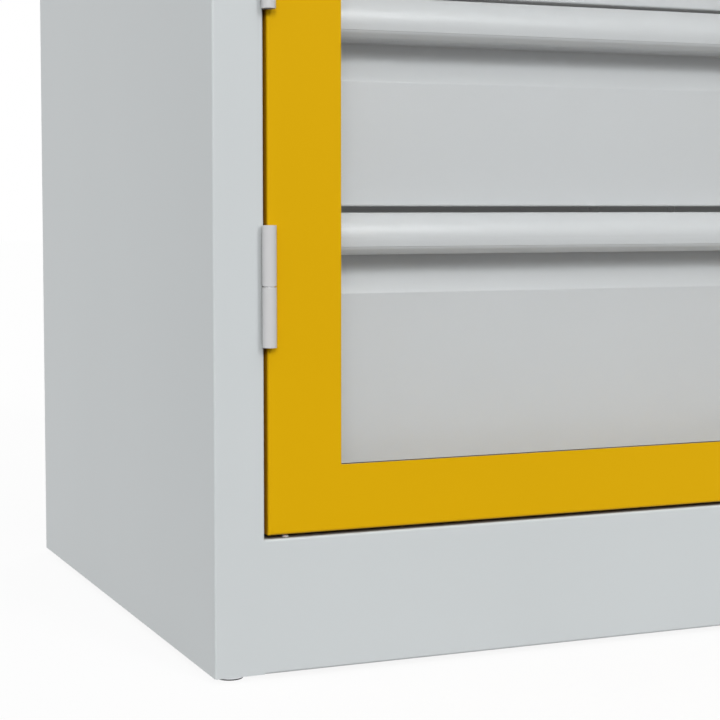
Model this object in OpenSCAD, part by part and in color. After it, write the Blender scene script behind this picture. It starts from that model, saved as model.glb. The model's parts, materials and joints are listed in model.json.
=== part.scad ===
// Reagent drawer cabinet: a sheet-steel carcass on levelling feet, three drawers
// on telescopic runners, and one glazed door on lift-off barrel hinges.
// Millimetres, +Z up, front facing -Y. The origin is the centre of the whole
// object's footprint, on the floor. Inside the modules x runs from the left
// outer side, y backwards from the front face and z up from the panels' edge.

/* [Carcass] */
// Outer width of the cabinet
cab_w = 600; // [500:10:800]
// Outer depth, front face to back
cab_d = 500; // [460:10:600]
// Height from the panels' lower edge to the top
cab_h = 670; // [600:5:760]
// Thickness of the carcass sheet
sheet_t = 1; // [0.8:0.1:1.5]
// Inside radius of every sharp sheet bend
bend_in = 0.6; // [0.4:0.1:1]
// Width of the front posts
post_w = 35; // [30:1:45]
// Depth of the door rebate behind the front face
rebate_d = 28; // [26:1:34]
// Width of the stop lip at the back of the rebate
lip_w = 8; // [6:1:10]
// Height of the plinth, up to the sill of the opening
sill_z = 91; // [70:1:120]
// Depth of the plinth's return along its lower edge
plinth_return = 20; // [15:1:22]
// Height of the top cover, which is also the header
cover_h = 20; // [16:1:30]
// Depth of the flanges folded round the back panel
rear_flange = 20; // [15:1:30]
// Depth of the down-turned edges of the cabinet floor
floor_h = 20; // [15:1:30]
// Width of the flange along the foot of a side panel
base_flange = 15; // [12:1:20]

/* [Feet] */
// Height of the panels' lower edge above the floor
foot_show = 3.5; // [2:0.5:8]
// Diameter of a foot's pad
pad_d = 19; // [16:1:24]
// Height of a foot's pad
pad_h = 6; // [5:0.5:8]
// Diameter of a foot's stud
stud_d = 8; // [6:1:10]
// Length of a foot's stud above the pad
stud_l = 31; // [28:1:40]
// Distance from the outer faces to a foot's centre
foot_inset = 15; // [14:1:20]
// Thickness of the corner brackets that carry the feet
bracket_t = 2.5; // [2:0.5:4]
// Side length of a corner bracket
bracket_w = 40; // [34:1:60]
// Height of a bracket's upstands
bracket_h = 22; // [15:1:30]

/* [Door] */
// Gap between the door and its opening
door_gap = 2.5; // [1.5:0.5:4]
// Thickness of the door sheet
door_t = 1.2; // [1:0.1:1.5]
// Depth of the door
door_d = 22; // [20:1:25]
// Outside radius of the door's upright corners, which are welded and ground
door_corner = 0.5; // [0.3:0.1:1.5]
// Width of the door's stiles, edge to window
stile_w = 52.5; // [45:0.5:70]
// Height of the door's rails, edge to window
rail_h = 45; // [40:1:70]
// Thickness of the window pane
pane_t = 4; // [3:0.5:5]
// Thickness of the glazing channel's rubber
seal_t = 1; // [0.8:0.1:1.5]
// Depth to which the channel grips the pane
seal_grip = 8; // [6:1:12]
// Step from the window's edge back to the inner frame
reveal_step = 5; // [4:0.5:7]

/* [Hinges] */
// Diameter of the hinge barrels
barrel_d = 9.6; // [8:0.2:10]
// Length of one knuckle
knuckle_l = 40; // [30:1:50]
// Thickness of the bearing washer between the knuckles
washer_t = 0.6; // [0.4:0.1:2]
// Distance from the door's end to the nearer end of the barrel
hinge_end = 126; // [80:1:140]
// Diameter of the hinge pins
hinge_pin_d = 6; // [4:0.5:6]
// Thickness of the welded hinge leaves
leaf_t = 0.9; // [0.6:0.1:1]
// Gap between a barrel and the face that it lies on
barrel_gap = 0.3; // [0.3:0.1:1]

/* [Lock] */
// Diameter of the turning knob
knob_d = 34; // [28:1:40]
// How far the knob stands out in front of the door
knob_h = 26; // [20:1:35]
// Diameter of the lock's rosette
rosette_d = 40; // [36:1:46]
// Thickness of the rosette
rosette_h = 3; // [2:0.5:5]
// Outer diameter of the lock body
lock_d = 20; // [18:1:24]
// Diameter of the lock's spindle
spindle_d = 10; // [8:1:12]
// Length of the cam, spindle axis to tip
cam_l = 38; // [34:1:42]
// Width of the cam
cam_w = 16; // [12:1:18]
// Thickness of the cam
cam_t = 2.5; // [2:0.5:3]
// Diameter of the key cylinder
key_d = 14; // [10:1:16]

/* [Drawers] */
// Height of a standard drawer front
front_h = 145.5; // [120:0.5:160]
// Gap between two drawer fronts
front_gap = 4.5; // [3:0.5:8]
// Clearance between the sill's stop lip and the lowest drawer front
sill_play = 2; // [1:0.5:6]
// Free height above the top drawer front
head_gap = 42; // [30:1:60]
// Thickness of the drawer front sheet
front_t = 1; // [0.8:0.1:1.2]
// Distance from the cabinet's side to a drawer front
front_inset = 88; // [86:1:110]
// Setback of the grip bead behind the front face
bead_y = 40; // [38:1:50]
// Height of the grip bead
bead_h = 28.8; // [26:0.2:34]
// Height of the chamfer along the bead's lower edge
bead_chamfer = 4; // [3:0.5:6]
// Depth of the finger recess, bead front to recess wall
recess_d = 38; // [30:1:40]
// Height from the bead's top to the crease
crease_h = 57.4; // [50:0.2:65]
// Setback of the flat front behind the grip bead
flat_set = 24; // [20:1:28]
// Overall depth of a drawer front
front_d = 44; // [42:1:50]
// Thickness of the tray sheet
tray_t = 0.8; // [0.7:0.1:1.2]
// Depth of a tray, front to back
tray_d = 385; // [300:5:390]
// Height from the front's lower edge to the tray's base
tray_lift = 4; // [3:0.5:8]
// Distance from the tray's rim up to the top of its front
tray_drop = 62; // [60:1:80]

/* [Runners] */
// Width of one runner, upright to tray
runner_w = 12.8; // [12.2:0.1:14]
// Height of the outer rail
runner_h = 45; // [40:1:46]
// Length of the rails
runner_l = 380; // [250:10:380]
// How far a drawer comes out
drawer_travel = 360; // [200:10:360]
// Thickness of the rails
rail_t = 1.2; // [1:0.1:1.5]
// Height from the tray's base to the runner's lower edge
runner_lift = 4; // [2:0.5:10]
// Clearance of a ball in its track
ball_play = 0.3; // [0.3:0.05:0.4]
// How far the uprights' faces lie outside the drawer fronts' ends
runner_lap = 8; // [4:1:12]
// Width of an upright
upright_w = 40; // [30:1:60]
// Pitch of the slots in the uprights
slot_pitch = 25; // [20:5:50]
// Height of a slot
slot_h = 14; // [8:1:16]
// Width of a slot
slot_w = 4; // [3:1:6]

/* [Hidden] */

// Colours, as the photograph shows them
GREY = [0.80, 0.82, 0.83];
YELLOW = [0.86, 0.67, 0.06];
ZINC = [0.72, 0.74, 0.75];
STEEL = [0.62, 0.64, 0.66];
BLACK = [0.10, 0.10, 0.11];
GLASS = [0.80, 0.90, 0.92, 0.3];
NYLON = [0.92, 0.92, 0.90];
RUBBER = [0.15, 0.15, 0.15];

// Curve resolution of rounds, and of very large bends
$fn = 48;

// How far a chord may lie inside the arc that it stands for
chord_sag = 0.02;
// Outside radius of a sharp bend in the carcass
bend_out = bend_in + sheet_t;
// Level of the header's lower face, where the posts end
head_z = cab_h - cover_h;
// How far the knob's face lies in front of the cabinet's face
front_reach = rosette_h + knob_h;
// The cabinet's front face and its left side in the part's own frame
front_y = (front_reach - cab_d) / 2;
left_x = -cab_w / 2;

// The door leaf's edges
door_x = post_w + door_gap;
door_w = cab_w - 2 * door_x;
door_z = sill_z + door_gap;
door_h = head_z - door_gap - door_z;
window_w = door_w - 2 * stile_w;
window_h = door_h - 2 * rail_h;
// Depths of the glazing behind the door's face: front lip, pane, rear lip
seal_y = door_t;
pane_y = seal_y + seal_t;
seal_d = pane_t + 2 * seal_t;
// Clearance between the inner frame and the door it fits into, and between the
// door and its buffers
frame_play = 0.3;
buffer_play = 0.3;
glide_d = 5;
glide_play = 0.7;

// The brackets rest on the pads of feet that are screwed right in
bracket_z = pad_h - foot_show;
nut_h = 6.5;
nut_af = 13;
// The side panels' foot flanges end this far clear of the corner brackets
bracket_clear = 5;
flange_end = bracket_w + bracket_clear;

// Hinge axis, in the middle of the gap and just in front of the face
hinge_x = post_w + door_gap - leaf_t / 2;
hinge_y = -barrel_d / 2 - barrel_gap;
barrel_l = 2 * knuckle_l + washer_t;
hinge_zs = [door_z + hinge_end, door_z + door_h - hinge_end - barrel_l];
pin_play = 0.05;
pin_tail = 3;
leaf_reach = 12;

// Lock axis, in the middle of the free stile
lock_x = cab_w - door_x - stile_w / 2;
lock_z = door_z + door_h / 2;
cam_clear = 2.5;
cam_y = rebate_d + cam_clear;
lock_play = 0.3;
key_h = 2;

// Drawer fronts, from the lowest: the deep one takes what the others leave
drawer_count = 3;
low_front_z = sill_z + lip_w + sill_play;
deep_front_h = head_z - head_gap - low_front_z - (drawer_count - 1) * (front_h + front_gap);
fronts_h = [deep_front_h, front_h, front_h];
fronts_z = [
    low_front_z,
    low_front_z + deep_front_h + front_gap,
    low_front_z + deep_front_h + front_h + 2 * front_gap
];
front_w = cab_w - 2 * front_inset;
// The bead's face is one wide bend between two legs that meet bead_bulge in front
// of its edges. Its middle line is bead_apex behind those, and the sheet's outer
// face there is the front of the whole drawer, at bead_y.
bead_r = 26;
bead_bulge = 5.2;
bead_half = (bead_h - bead_chamfer - front_t / 2) / 2;
bead_turn = atan2(bead_bulge, bead_half);
bead_apex = bead_r * (1 / cos(bead_turn) - 1) - bead_bulge;
bead_set = front_t / 2 - bead_apex;
front_lip = 12;
fold_r = bend_in + front_t / 2;
bead_top_r = 2;
crease_r = 1.5;
front_radii = [0, fold_r, bead_top_r, bead_r, fold_r, fold_r, fold_r, crease_r, fold_r, fold_r, 0];
tray_y = bead_y + front_d;
upright_x = front_inset - runner_lap;
tray_x = upright_x + runner_w;
tray_w = cab_w - 2 * tray_x;

// Runners: the outer rail holds the middle one and that holds the drawer's own
runner_set = 2;
runner_y = tray_y + runner_set;
track_gap = 3.7;
middle_h = runner_h - 2 * rail_t - 2 * track_gap;
inner_gap = 3.4;
inner_h = middle_h - 2 * rail_t - 2 * inner_gap;
outer_flange = 9;
middle_x = 4.6;
middle_flange = 5;
inner_flange = 5.6;
inner_track = 3.9;
// Each row of balls stays between its two rails at full extension, which moves it
// forwards by a quarter of the drawer's travel against each of them
cage_margin = 10;
cage_l = runner_l - drawer_travel / 2 - 2 * cage_margin;
cage_h = 1;
cage_w = 2;
balls = 6;

// Uprights stand where the outer rails' screws are, near the rails' two ends. The
// fillers lie just behind the beads' fronts, and their edges leave the middle rails
// room to pass.
screw_front = 10;
screw_rear = 46;
screw_ys = [runner_y + screw_front, runner_y + runner_l - screw_rear];
upright_foot = 12;
filler_set = 4;
filler_y = bead_y + filler_set;
filler_return = 14;
filler_play = 1;
filler_edge = upright_x + middle_x - filler_play;

// ---- General shapes ----

function unit(v) = v / norm(v);
function repeated(value, count) = [for (i = [1:count]) value];

// A folded sheet is given by the corners of its middle line, path, and by a
// middle-line radius for each of them. Corner i turns the sheet by bend_angle, and
// its bend takes setback from each of the two legs that meet there.
function is_end(path, i) = i == 0 || i == len(path) - 1;
function leg(path, i) = unit(path[i] - path[i - 1]);
function bend_angle(path, i) =
    let (a = leg(path, i), b = leg(path, i + 1)) atan2(a.x * b.y - a.y * b.x, a * b);
function setback(path, radii, i) =
    is_end(path, i) ? 0 : radii[i] * tan(abs(bend_angle(path, i)) / 2);
function bend_centre(path, radii, i) =
    let (way = leg(path, i))
    path[i] - way * setback(path, radii, i)
        + sign(bend_angle(path, i)) * radii[i] * [-way.y, way.x];
// Direction from a bend's centre to the sheet, at a part of its angle from 0 to 1
function bend_ray(path, i, part) =
    let (way = leg(path, i), angle = bend_angle(path, i), a = part * angle)
    sign(angle) * [way.y * cos(a) + way.x * sin(a), way.y * sin(a) - way.x * cos(a)];
// Points along a folded sheet, with chords round its bends that stay within
// chord_sag of the arc: on its middle line, or offset to the left of it by side
function chords(path, radii, i) =
    ceil(abs(bend_angle(path, i)) / (2 * acos(1 - chord_sag / (radii[i] + chord_sag))));
function eased(path, radii, side = 0) = [
    for (i = [0:len(path) - 1], j = [0:is_end(path, i) ? 0 : chords(path, radii, i)])
        let (way = leg(path, max(i, 1)))
        is_end(path, i) ? path[i] + side * [-way.y, way.x]
        : bend_centre(path, radii, i)
            + (radii[i] - sign(bend_angle(path, i)) * side)
            * bend_ray(path, i, j / chords(path, radii, i))
];
function reversed(list) = [for (i = [len(list) - 1:-1:0]) list[i]];

// Puts what was drawn from the cabinet's left front foot corner into the part's frame
module placed() {
    translate([left_x, front_y, foot_show]) children();
}

// Edge view of a folded sheet of thickness t
module folded(path, radii, t) {
    for (i = [1:len(path) - 1]) {
        way = leg(path, i);
        start = path[i - 1] + way * setback(path, radii, i - 1);
        stop = path[i] - way * setback(path, radii, i);
        translate(start) rotate(atan2(way.y, way.x)) translate([0, -t / 2])
            square([norm(stop - start), t]);
    }
    for (i = [1:len(path) - 2]) bend(path, radii, i, t);
}

// One bend of a folded sheet: the sector of a ring between its two legs
module bend(path, radii, i, t) {
    reach = 2 * (radii[i] + t);
    translate(bend_centre(path, radii, i)) intersection() {
        difference() {
            circle(radii[i] + t / 2);
            circle(radii[i] - t / 2);
        }
        polygon(concat([[0, 0]], [for (part = [0, 0.5, 1]) reach * bend_ray(path, i, part)]));
    }
}

// The same edge view for a sheet with slanted legs, as one outline of chords
module eased_sheet(path, radii, t) {
    polygon(concat(eased(path, radii, t / 2), reversed(eased(path, radii, -t / 2))));
}

// A sheet folded along path with the same sharp bend at each corner
module folded_sharp(path, t, inside = bend_in) {
    folded(path, repeated(inside + t / 2, len(path)), t);
}

// Extrusions of an edge view along X (drawn in y, z) and along Y (drawn in x, z)
module along_x(length) {
    rotate([90, 0, 90]) linear_extrude(length) children();
}

module along_y(length) {
    translate([0, length, 0]) rotate([90, 0, 0]) linear_extrude(length) children();
}

// A rectangle with its two lower corners rounded, or with all four
module rounded_foot(w, h, r) {
    translate([r, 0]) square([w - 2 * r, h]);
    translate([0, r]) square([w, h - r]);
    for (x = [r, w - r]) translate([x, r]) circle(r);
}

module rounded_plan(w, d, r) {
    translate([r, 0]) square([w - 2 * r, d]);
    translate([0, r]) square([w, d - 2 * r]);
    for (x = [r, w - r], y = [r, d - r]) translate([x, y]) circle(r);
}

// A block whose lower edges are rounded by r, as folded sheet is, and whose upright
// edges by corner
module folded_block(w, d, h, r, corner) {
    intersection() {
        linear_extrude(h) rounded_plan(w, d, corner);
        along_y(d) rounded_foot(w, h, r);
        along_x(w) rounded_foot(d, h, r);
    }
}

// A sheet pan: base below, four walls up, open above. Its upright edges are as round
// as its folds, or have the outside radius corner, with the same radius inside.
module pan(w, d, h, t, inside = bend_in, corner = 0) {
    difference() {
        folded_block(w, d, h, inside + t, corner > 0 ? corner : inside + t);
        translate([t, t, t])
            folded_block(w - 2 * t, d - 2 * t, h, inside, corner > 0 ? corner : inside);
    }
}

// A rectangular ring, such as a frame or a seal, that lies flat
module ring(w, d, h, width) {
    difference() {
        cube([w, d, h]);
        translate([width, width, -1]) cube([w - 2 * width, d - 2 * width, h + 2]);
    }
}

// Turns a flat shape to stand in the door: its base faces the front at depth y,
// its width runs along x from x, and its depth runs down from z
module standing(x, y, z) {
    translate([x, y, z]) rotate([-90, 0, 0]) children();
}

// ---- Carcass ----

// Side panel, front post, door rebate and rear flange, folded from one sheet
module side_panel() {
    t = sheet_t;
    back = cab_d - t / 2;
    skin = [[rear_flange, back], [t / 2, back], [t / 2, t / 2]];
    jamb_x = post_w - t / 2;
    jamb = [[jamb_x, t / 2], [jamb_x, rebate_d - t / 2]];
    lip = [[post_w + lip_w, rebate_d - t / 2]];
    plain = concat(skin, [[post_w, t / 2]]);
    rebated = concat(skin, jamb);
    lipped = concat(skin, jamb, lip);
    placed() {
        linear_extrude(sill_z) folded_sharp(plain, t);
        translate([0, 0, sill_z]) linear_extrude(lip_w) folded_sharp(rebated, t);
        translate([0, 0, sill_z + lip_w])
            linear_extrude(head_z - sill_z - 2 * lip_w) folded_sharp(lipped, t);
        translate([0, 0, head_z - lip_w]) linear_extrude(lip_w) folded_sharp(rebated, t);
        translate([t, flange_end, 0]) cube([base_flange, cab_d - 2 * flange_end, t]);
    }
}

module side_left() {
    color(GREY) side_panel();
}

module side_right() {
    color(GREY) mirror([1, 0, 0]) side_panel();
}

// Back panel, against the inside of the side panels' rear flanges
module back_panel() {
    t = sheet_t;
    edge = t + bend_in;
    color(GREY) placed()
        translate([edge, cab_d - 2 * t, 0]) cube([cab_w - 2 * edge, t, head_z]);
}

// Top cover: a pan turned over, with the header's rebate and stop lip in front
module top_cover() {
    t = sheet_t;
    rebate = [
        [t / 2, head_z + cover_h / 2],
        [t / 2, head_z + t / 2],
        [rebate_d - t / 2, head_z + t / 2],
        [rebate_d - t / 2, head_z - lip_w]
    ];
    color(GREY) placed() {
        translate([0, 0, cab_h]) mirror([0, 0, 1]) difference() {
            pan(cab_w, cab_d, cover_h, t);
            translate([post_w, -t, cover_h - 2 * bend_out])
                cube([cab_w - 2 * post_w, 3 * t, cover_h]);
        }
        translate([post_w, 0, 0]) along_x(cab_w - 2 * post_w) folded_sharp(rebate, t);
    }
}

// Plinth, sill and sill stop lip, folded from one sheet between the posts
module plinth_front() {
    t = sheet_t;
    path = [
        [plinth_return, t / 2],
        [t / 2, t / 2],
        [t / 2, sill_z - t / 2],
        [rebate_d - t / 2, sill_z - t / 2],
        [rebate_d - t / 2, sill_z + lip_w]
    ];
    color(GREY) placed() translate([post_w, 0, 0])
        along_x(cab_w - 2 * post_w) folded_sharp(path, t);
}

// Floor of the cabinet: a pan turned over, level with the sill
module cabinet_floor() {
    t = sheet_t;
    color(GREY) placed() translate([t, rebate_d, sill_z]) mirror([0, 0, 1])
        pan(cab_w - 2 * t, cab_d - rebate_d - 2 * t, floor_h, t);
}

// ---- Feet ----

// Moves a front left corner's piece to the corner on the given side, 0 left or
// 1 right, and end, 0 front or 1 rear
module at_corner(side, end) {
    mirror([side, 0, 0]) translate([0, end * (2 * front_y + cab_d), 0]) mirror([0, end, 0])
        children();
}

// Corner bracket, welded into the base, with a hole for a foot's stud. Its front
// lies against a sheet whose inner face is at depth wall_y.
module foot_bracket(wall_y) {
    t = sheet_t;
    fold_relief = 1.5;
    stud_room = 0.5;
    placed() translate([t, wall_y, bracket_z]) difference() {
        cube([bracket_w, bracket_w, bracket_h]);
        translate([bracket_t, bracket_t, bracket_t]) cube([bracket_w, bracket_w, bracket_h]);
        translate([-1, -1, -1]) cube([fold_relief + 1, fold_relief + 1, bracket_h + 2]);
        translate([foot_inset - t, foot_inset - wall_y, -1])
            cylinder(d = stud_d + 2 * stud_room, h = bracket_t + 2);
    }
}

module foot_brackets() {
    color(ZINC) for (side = [0, 1], end = [0, 1])
        at_corner(side, end) foot_bracket((1 + end) * sheet_t);
}

// Weld nuts on the brackets, in which the studs turn
module foot_nuts() {
    color(STEEL) for (side = [0, 1], end = [0, 1]) at_corner(side, end) placed()
        translate([foot_inset, foot_inset, bracket_z + bracket_t]) difference() {
            cylinder(d = nut_af / cos(30), h = nut_h, $fn = 6);
            translate([0, 0, -1]) cylinder(d = stud_d + 2 * pin_play, h = nut_h + 2);
        }
}

// One levelling foot: a pad with its stud, drawn at the front left corner
module levelling_foot() {
    pad_edge = 1;
    translate([left_x + foot_inset, front_y + foot_inset, 0]) {
        rotate_extrude() polygon([
            [0, 0], [pad_d / 2 - pad_edge, 0], [pad_d / 2, pad_edge],
            [pad_d / 2, pad_h - pad_edge], [pad_d / 2 - pad_edge, pad_h], [0, pad_h]
        ]);
        translate([0, 0, pad_h]) cylinder(d = stud_d, h = stud_l);
    }
}

module foot_at(side, end) {
    color(ZINC) at_corner(side, end) levelling_foot();
}

module foot_front_left() {
    foot_at(0, 0);
}

module foot_front_right() {
    foot_at(1, 0);
}

module foot_rear_left() {
    foot_at(0, 1);
}

module foot_rear_right() {
    foot_at(1, 1);
}

// ---- Inside of the carcass ----

// One hat-section upright against the left side panel, slotted for the runners
module upright(y) {
    t = sheet_t;
    foot_x = 1.5 * t;
    face_x = upright_x - t / 2;
    path = [
        [foot_x, y - upright_foot], [foot_x, y], [face_x, y],
        [face_x, y + upright_w], [foot_x, y + upright_w], [foot_x, y + upright_w + upright_foot]
    ];
    rows = floor((head_z - sill_z) / slot_pitch) - 1;
    difference() {
        translate([0, 0, sill_z]) linear_extrude(head_z - sill_z) folded_sharp(path, t);
        for (i = [1:rows])
            translate([
                upright_x - 2 * t, y + (upright_w - slot_w) / 2, sill_z + i * slot_pitch - slot_h / 2
            ])
                cube([3 * t, slot_w, slot_h]);
    }
}

module uprights() {
    placed() for (y = screw_ys) upright(y - upright_w / 2);
}

module uprights_left() {
    color(GREY) uprights();
}

module uprights_right() {
    color(GREY) mirror([1, 0, 0]) uprights();
}

// Filler strip that closes the space between a side panel and the drawers
module filler() {
    t = sheet_t;
    path = [
        [1.5 * t, filler_y + filler_return], [1.5 * t, filler_y + t / 2],
        [filler_edge - t / 2, filler_y + t / 2], [filler_edge - t / 2, filler_y + filler_return]
    ];
    placed() translate([0, 0, sill_z]) linear_extrude(head_z - sill_z) folded_sharp(path, t);
}

module filler_left() {
    color(GREY) filler();
}

module filler_right() {
    color(GREY) mirror([1, 0, 0]) filler();
}

// ---- Runners ----

// Middle height of drawer k's runners, above the panels' lower edge
function runner_z(k) = fronts_z[k] + tray_lift + runner_lift + runner_h / 2;

// A rail's C section drawn in x, z: web at x, flanges reaching on by reach
module rail(x, reach, height) {
    t = rail_t;
    path = [
        [x + reach, (height - t) / 2], [x + sign(reach) * t / 2, (height - t) / 2],
        [x + sign(reach) * t / 2, -(height - t) / 2], [x + reach, -(height - t) / 2]
    ];
    folded_sharp(path, t, 0.5);
}

// Puts a left runner's piece, drawn from the upright's face, at drawer k's height
module at_runner(k) {
    placed() translate([upright_x, runner_y, runner_z(k)]) children();
}

module outer_rails() {
    for (k = [0:drawer_count - 1]) at_runner(k) along_y(runner_l) rail(0, outer_flange, runner_h);
}

module runner_outer_left() {
    color(ZINC) outer_rails();
}

module runner_outer_right() {
    color(ZINC) mirror([1, 0, 0]) outer_rails();
}

// Screw heads that hold the outer rails to the uprights
module runner_screws() {
    head_h = 1.6;
    head_d = 8;
    color(STEEL) for (side = [0, 1]) mirror([side, 0, 0])
        for (k = [0:drawer_count - 1], y = screw_ys) placed()
            translate([upright_x + rail_t, y, runner_z(k)])
                rotate([0, 90, 0]) cylinder(d = head_d, h = head_h);
}

module drawer_rails(k) {
    color(ZINC) for (side = [0, 1]) mirror([side, 0, 0]) at_runner(k)
        along_y(runner_l) rail(runner_w, -inner_flange, inner_h);
}

module drawer_middle_rails(k) {
    color(ZINC) for (side = [0, 1]) mirror([side, 0, 0]) at_runner(k)
        along_y(runner_l) rail(middle_x, middle_flange, middle_h);
}

// The rows of balls between two rails, in tracks of height gap above and below,
// held by a strip each: drawn at x, z from the upright's face and the rails' middle
module ball_cages(k, x, z, gap) {
    ball_d = gap - 2 * ball_play;
    pitch = cage_l / balls;
    color(STEEL) for (side = [0, 1]) mirror([side, 0, 0]) at_runner(k)
        for (up = [-1, 1]) translate([x, (runner_l - cage_l) / 2, up * z]) {
            translate([-cage_w / 2, 0, -cage_h / 2]) cube([cage_w, cage_l, cage_h]);
            for (i = [0.5:balls]) translate([0, i * pitch, 0]) sphere(d = ball_d, $fn = 24);
        }
}

module drawer_outer_cages(k) {
    ball_cages(k, (middle_x + outer_flange) / 2, (middle_h + track_gap) / 2, track_gap);
}

module drawer_inner_cages(k) {
    ball_cages(k, middle_x + inner_track, (inner_h + inner_gap) / 2, inner_gap);
}

// ---- Drawers ----

// Middle line of a drawer front of height h, in y, z from the bead's top: a lip,
// the top flange, the bead's face in three, its chamfer and underside, the finger
// recess, the slanted strip down to the crease, the flat front, the bottom flange
// and its lip
function front_path(h) =
    let (half = front_t / 2, back = bead_y + front_d - half, flat = bead_y + flat_set + half)
    [
        [back, -front_lip],
        [back, -half],
        [bead_y + bead_set, -half],
        [bead_y + bead_set - bead_bulge, -half - bead_half],
        [bead_y + bead_set, bead_chamfer - bead_h],
        [bead_y + bead_set + bead_chamfer, -bead_h],
        [bead_y + recess_d, -bead_h],
        [flat, -crease_h],
        [flat, half - h],
        [back, half - h],
        [back, half - h + front_lip]
    ];

// One folded sheet, closed at each end by a cheek up to the middle of the sheet
module drawer_front(k) {
    h = fronts_h[k];
    color(GREY) placed() translate([front_inset, 0, fronts_z[k] + h]) {
        along_x(front_w) eased_sheet(front_path(h), front_radii, front_t);
        for (x = [0, front_w - front_t]) translate([x, 0, 0]) along_x(front_t)
            polygon(eased(front_path(h), front_radii));
    }
}

// The tray: an open pan behind the front
module drawer_tray(k) {
    color(GREY) placed() translate([tray_x, tray_y, fronts_z[k] + tray_lift])
        pan(tray_w, tray_d, fronts_h[k] - tray_lift - tray_drop, tray_t);
}

// ---- Door ----

// Door leaf: a folded pan with the window and the lock's hole cut in its face
module door_panel() {
    color(YELLOW) difference() {
        placed() standing(door_x, 0, door_z + door_h)
            pan(door_w, door_h, door_d, door_t, corner = door_corner);
        placed() translate([door_x + stile_w, -1, door_z + rail_h])
            cube([window_w, door_d, window_h]);
        on_lock(-1) cylinder(d = lock_d + 2 * pin_play, h = door_d);
    }
}

// Inner frame: closes the stiles and rails behind and clamps the glazing channel
module door_inner_frame() {
    t = door_t;
    edge = door_t + frame_play;
    w = door_w - 2 * edge;
    h = door_h - 2 * edge;
    width_x = stile_w - edge - reveal_step;
    width_z = rail_h - edge - reveal_step;
    clamp_y = door_t + seal_d;
    reveal_w = window_w + 2 * reveal_step;
    reveal_h = window_h + 2 * reveal_step;
    clamp = seal_grip;
    reveal_x = door_x + stile_w - reveal_step;
    reveal_z = door_z + door_h - rail_h + reveal_step;
    color(YELLOW) difference() {
        placed() {
            standing(door_x + edge, door_d - t, door_z + door_h - edge) difference() {
                cube([w, h, t]);
                translate([width_x, width_z, -1]) cube([w - 2 * width_x, h - 2 * width_z, t + 2]);
            }
            standing(reveal_x - t, clamp_y, reveal_z + t)
                ring(reveal_w + 2 * t, reveal_h + 2 * t, door_d - clamp_y - t, t);
            standing(reveal_x - clamp, clamp_y, reveal_z + clamp)
                ring(reveal_w + 2 * clamp, reveal_h + 2 * clamp, t, clamp);
        }
        on_lock(clamp_y) cylinder(d = lock_d + 2 * pin_play, h = door_d);
    }
}

// Glazing channel: a rubber U section round the pane, flush with the window's edge
module window_seal() {
    width = seal_grip + seal_t;
    w = window_w + 2 * width;
    h = window_h + 2 * width;
    color(RUBBER) placed()
        standing(door_x + stile_w - width, seal_y, door_z + door_h - rail_h + width) difference() {
            ring(w, h, seal_d, width);
            translate([seal_t, seal_t, seal_t]) cube([w - 2 * seal_t, h - 2 * seal_t, pane_t]);
        }
}

module window_pane() {
    w = window_w + 2 * seal_grip;
    h = window_h + 2 * seal_grip;
    color(GLASS) placed()
        standing(door_x + stile_w - seal_grip, pane_y, door_z + door_h - rail_h + seal_grip)
            cube([w, h, pane_t]);
}

// Screws with pan heads that hold the inner frame, along the stiles
module frame_screws() {
    head_d = 7;
    head_h = 2;
    rows = [0.12, 0.37, 0.63, 0.88];
    color(STEEL) placed()
        for (x = [door_x + stile_w / 3, door_x + door_w - stile_w / 3], row = rows)
            translate([x, door_d, door_z + row * door_h])
                rotate([-90, 0, 0]) cylinder(d = head_d, h = head_h);
}

// Soft stops on the lips, clear of their bends, which the closed door rests against,
// and domed glides on the sill that carry the door's free corner if it sags
module door_buffers() {
    buffer_d = lip_w - 2 * bend_out;
    buffer_inset = 14;
    buffer_l = rebate_d - sheet_t - door_d - buffer_play;
    low = sill_z + lip_w / 2;
    high = head_z - lip_w / 2;
    glide_inset = 17;
    glide_y = 7;
    color(NYLON) placed() {
        for (x = [post_w + buffer_inset, cab_w - post_w - buffer_inset], z = [low, high])
            translate([x, rebate_d - sheet_t - buffer_l, z]) rotate([-90, 0, 0])
                cylinder(d = buffer_d, h = buffer_l);
        for (x = [post_w + glide_inset, cab_w - post_w - glide_inset])
            translate([x, glide_y, sill_z]) dome(glide_d, door_gap - glide_play);
    }
}

// A spherical cap of diameter d and height h that stands on its flat side
module dome(d, h) {
    r = (d * d / 4 + h * h) / (2 * h);
    intersection() {
        translate([0, 0, h - r]) sphere(r);
        translate([-d, -d, 0]) cube(2 * d);
    }
}

// ---- Hinges ----

// A knuckle that stands on the hinge axis, with a leaf welded to what it carries
module knuckle(bore) {
    difference() {
        union() {
            cylinder(d = barrel_d, h = knuckle_l);
            children();
        }
        translate([0, 0, -1]) cylinder(d = bore, h = knuckle_l + 2);
    }
}

// Lower knuckles, on the post: the leaf lies on the rebate's jamb
module hinge_frame_knuckles() {
    color(GREY) placed() for (z = hinge_zs) translate([hinge_x, hinge_y, z])
        knuckle(hinge_pin_d) translate([post_w - hinge_x, 0, 0])
            cube([leaf_t, leaf_reach - hinge_y, knuckle_l]);
}

// Upper knuckles, on the door: the leaf lies on the edge of the leaf's stile
module hinge_door_knuckles() {
    color(GREY) placed() for (z = hinge_zs) translate([hinge_x, hinge_y, z + knuckle_l + washer_t])
        knuckle(hinge_pin_d + 2 * pin_play) translate([door_x - leaf_t - hinge_x, 0, 0])
            cube([leaf_t, leaf_reach - hinge_y, knuckle_l]);
}

module hinge_pins() {
    color(STEEL) placed() for (z = hinge_zs)
        translate([hinge_x, hinge_y, z + pin_tail]) cylinder(d = hinge_pin_d, h = barrel_l - 2 * pin_tail);
}

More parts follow.
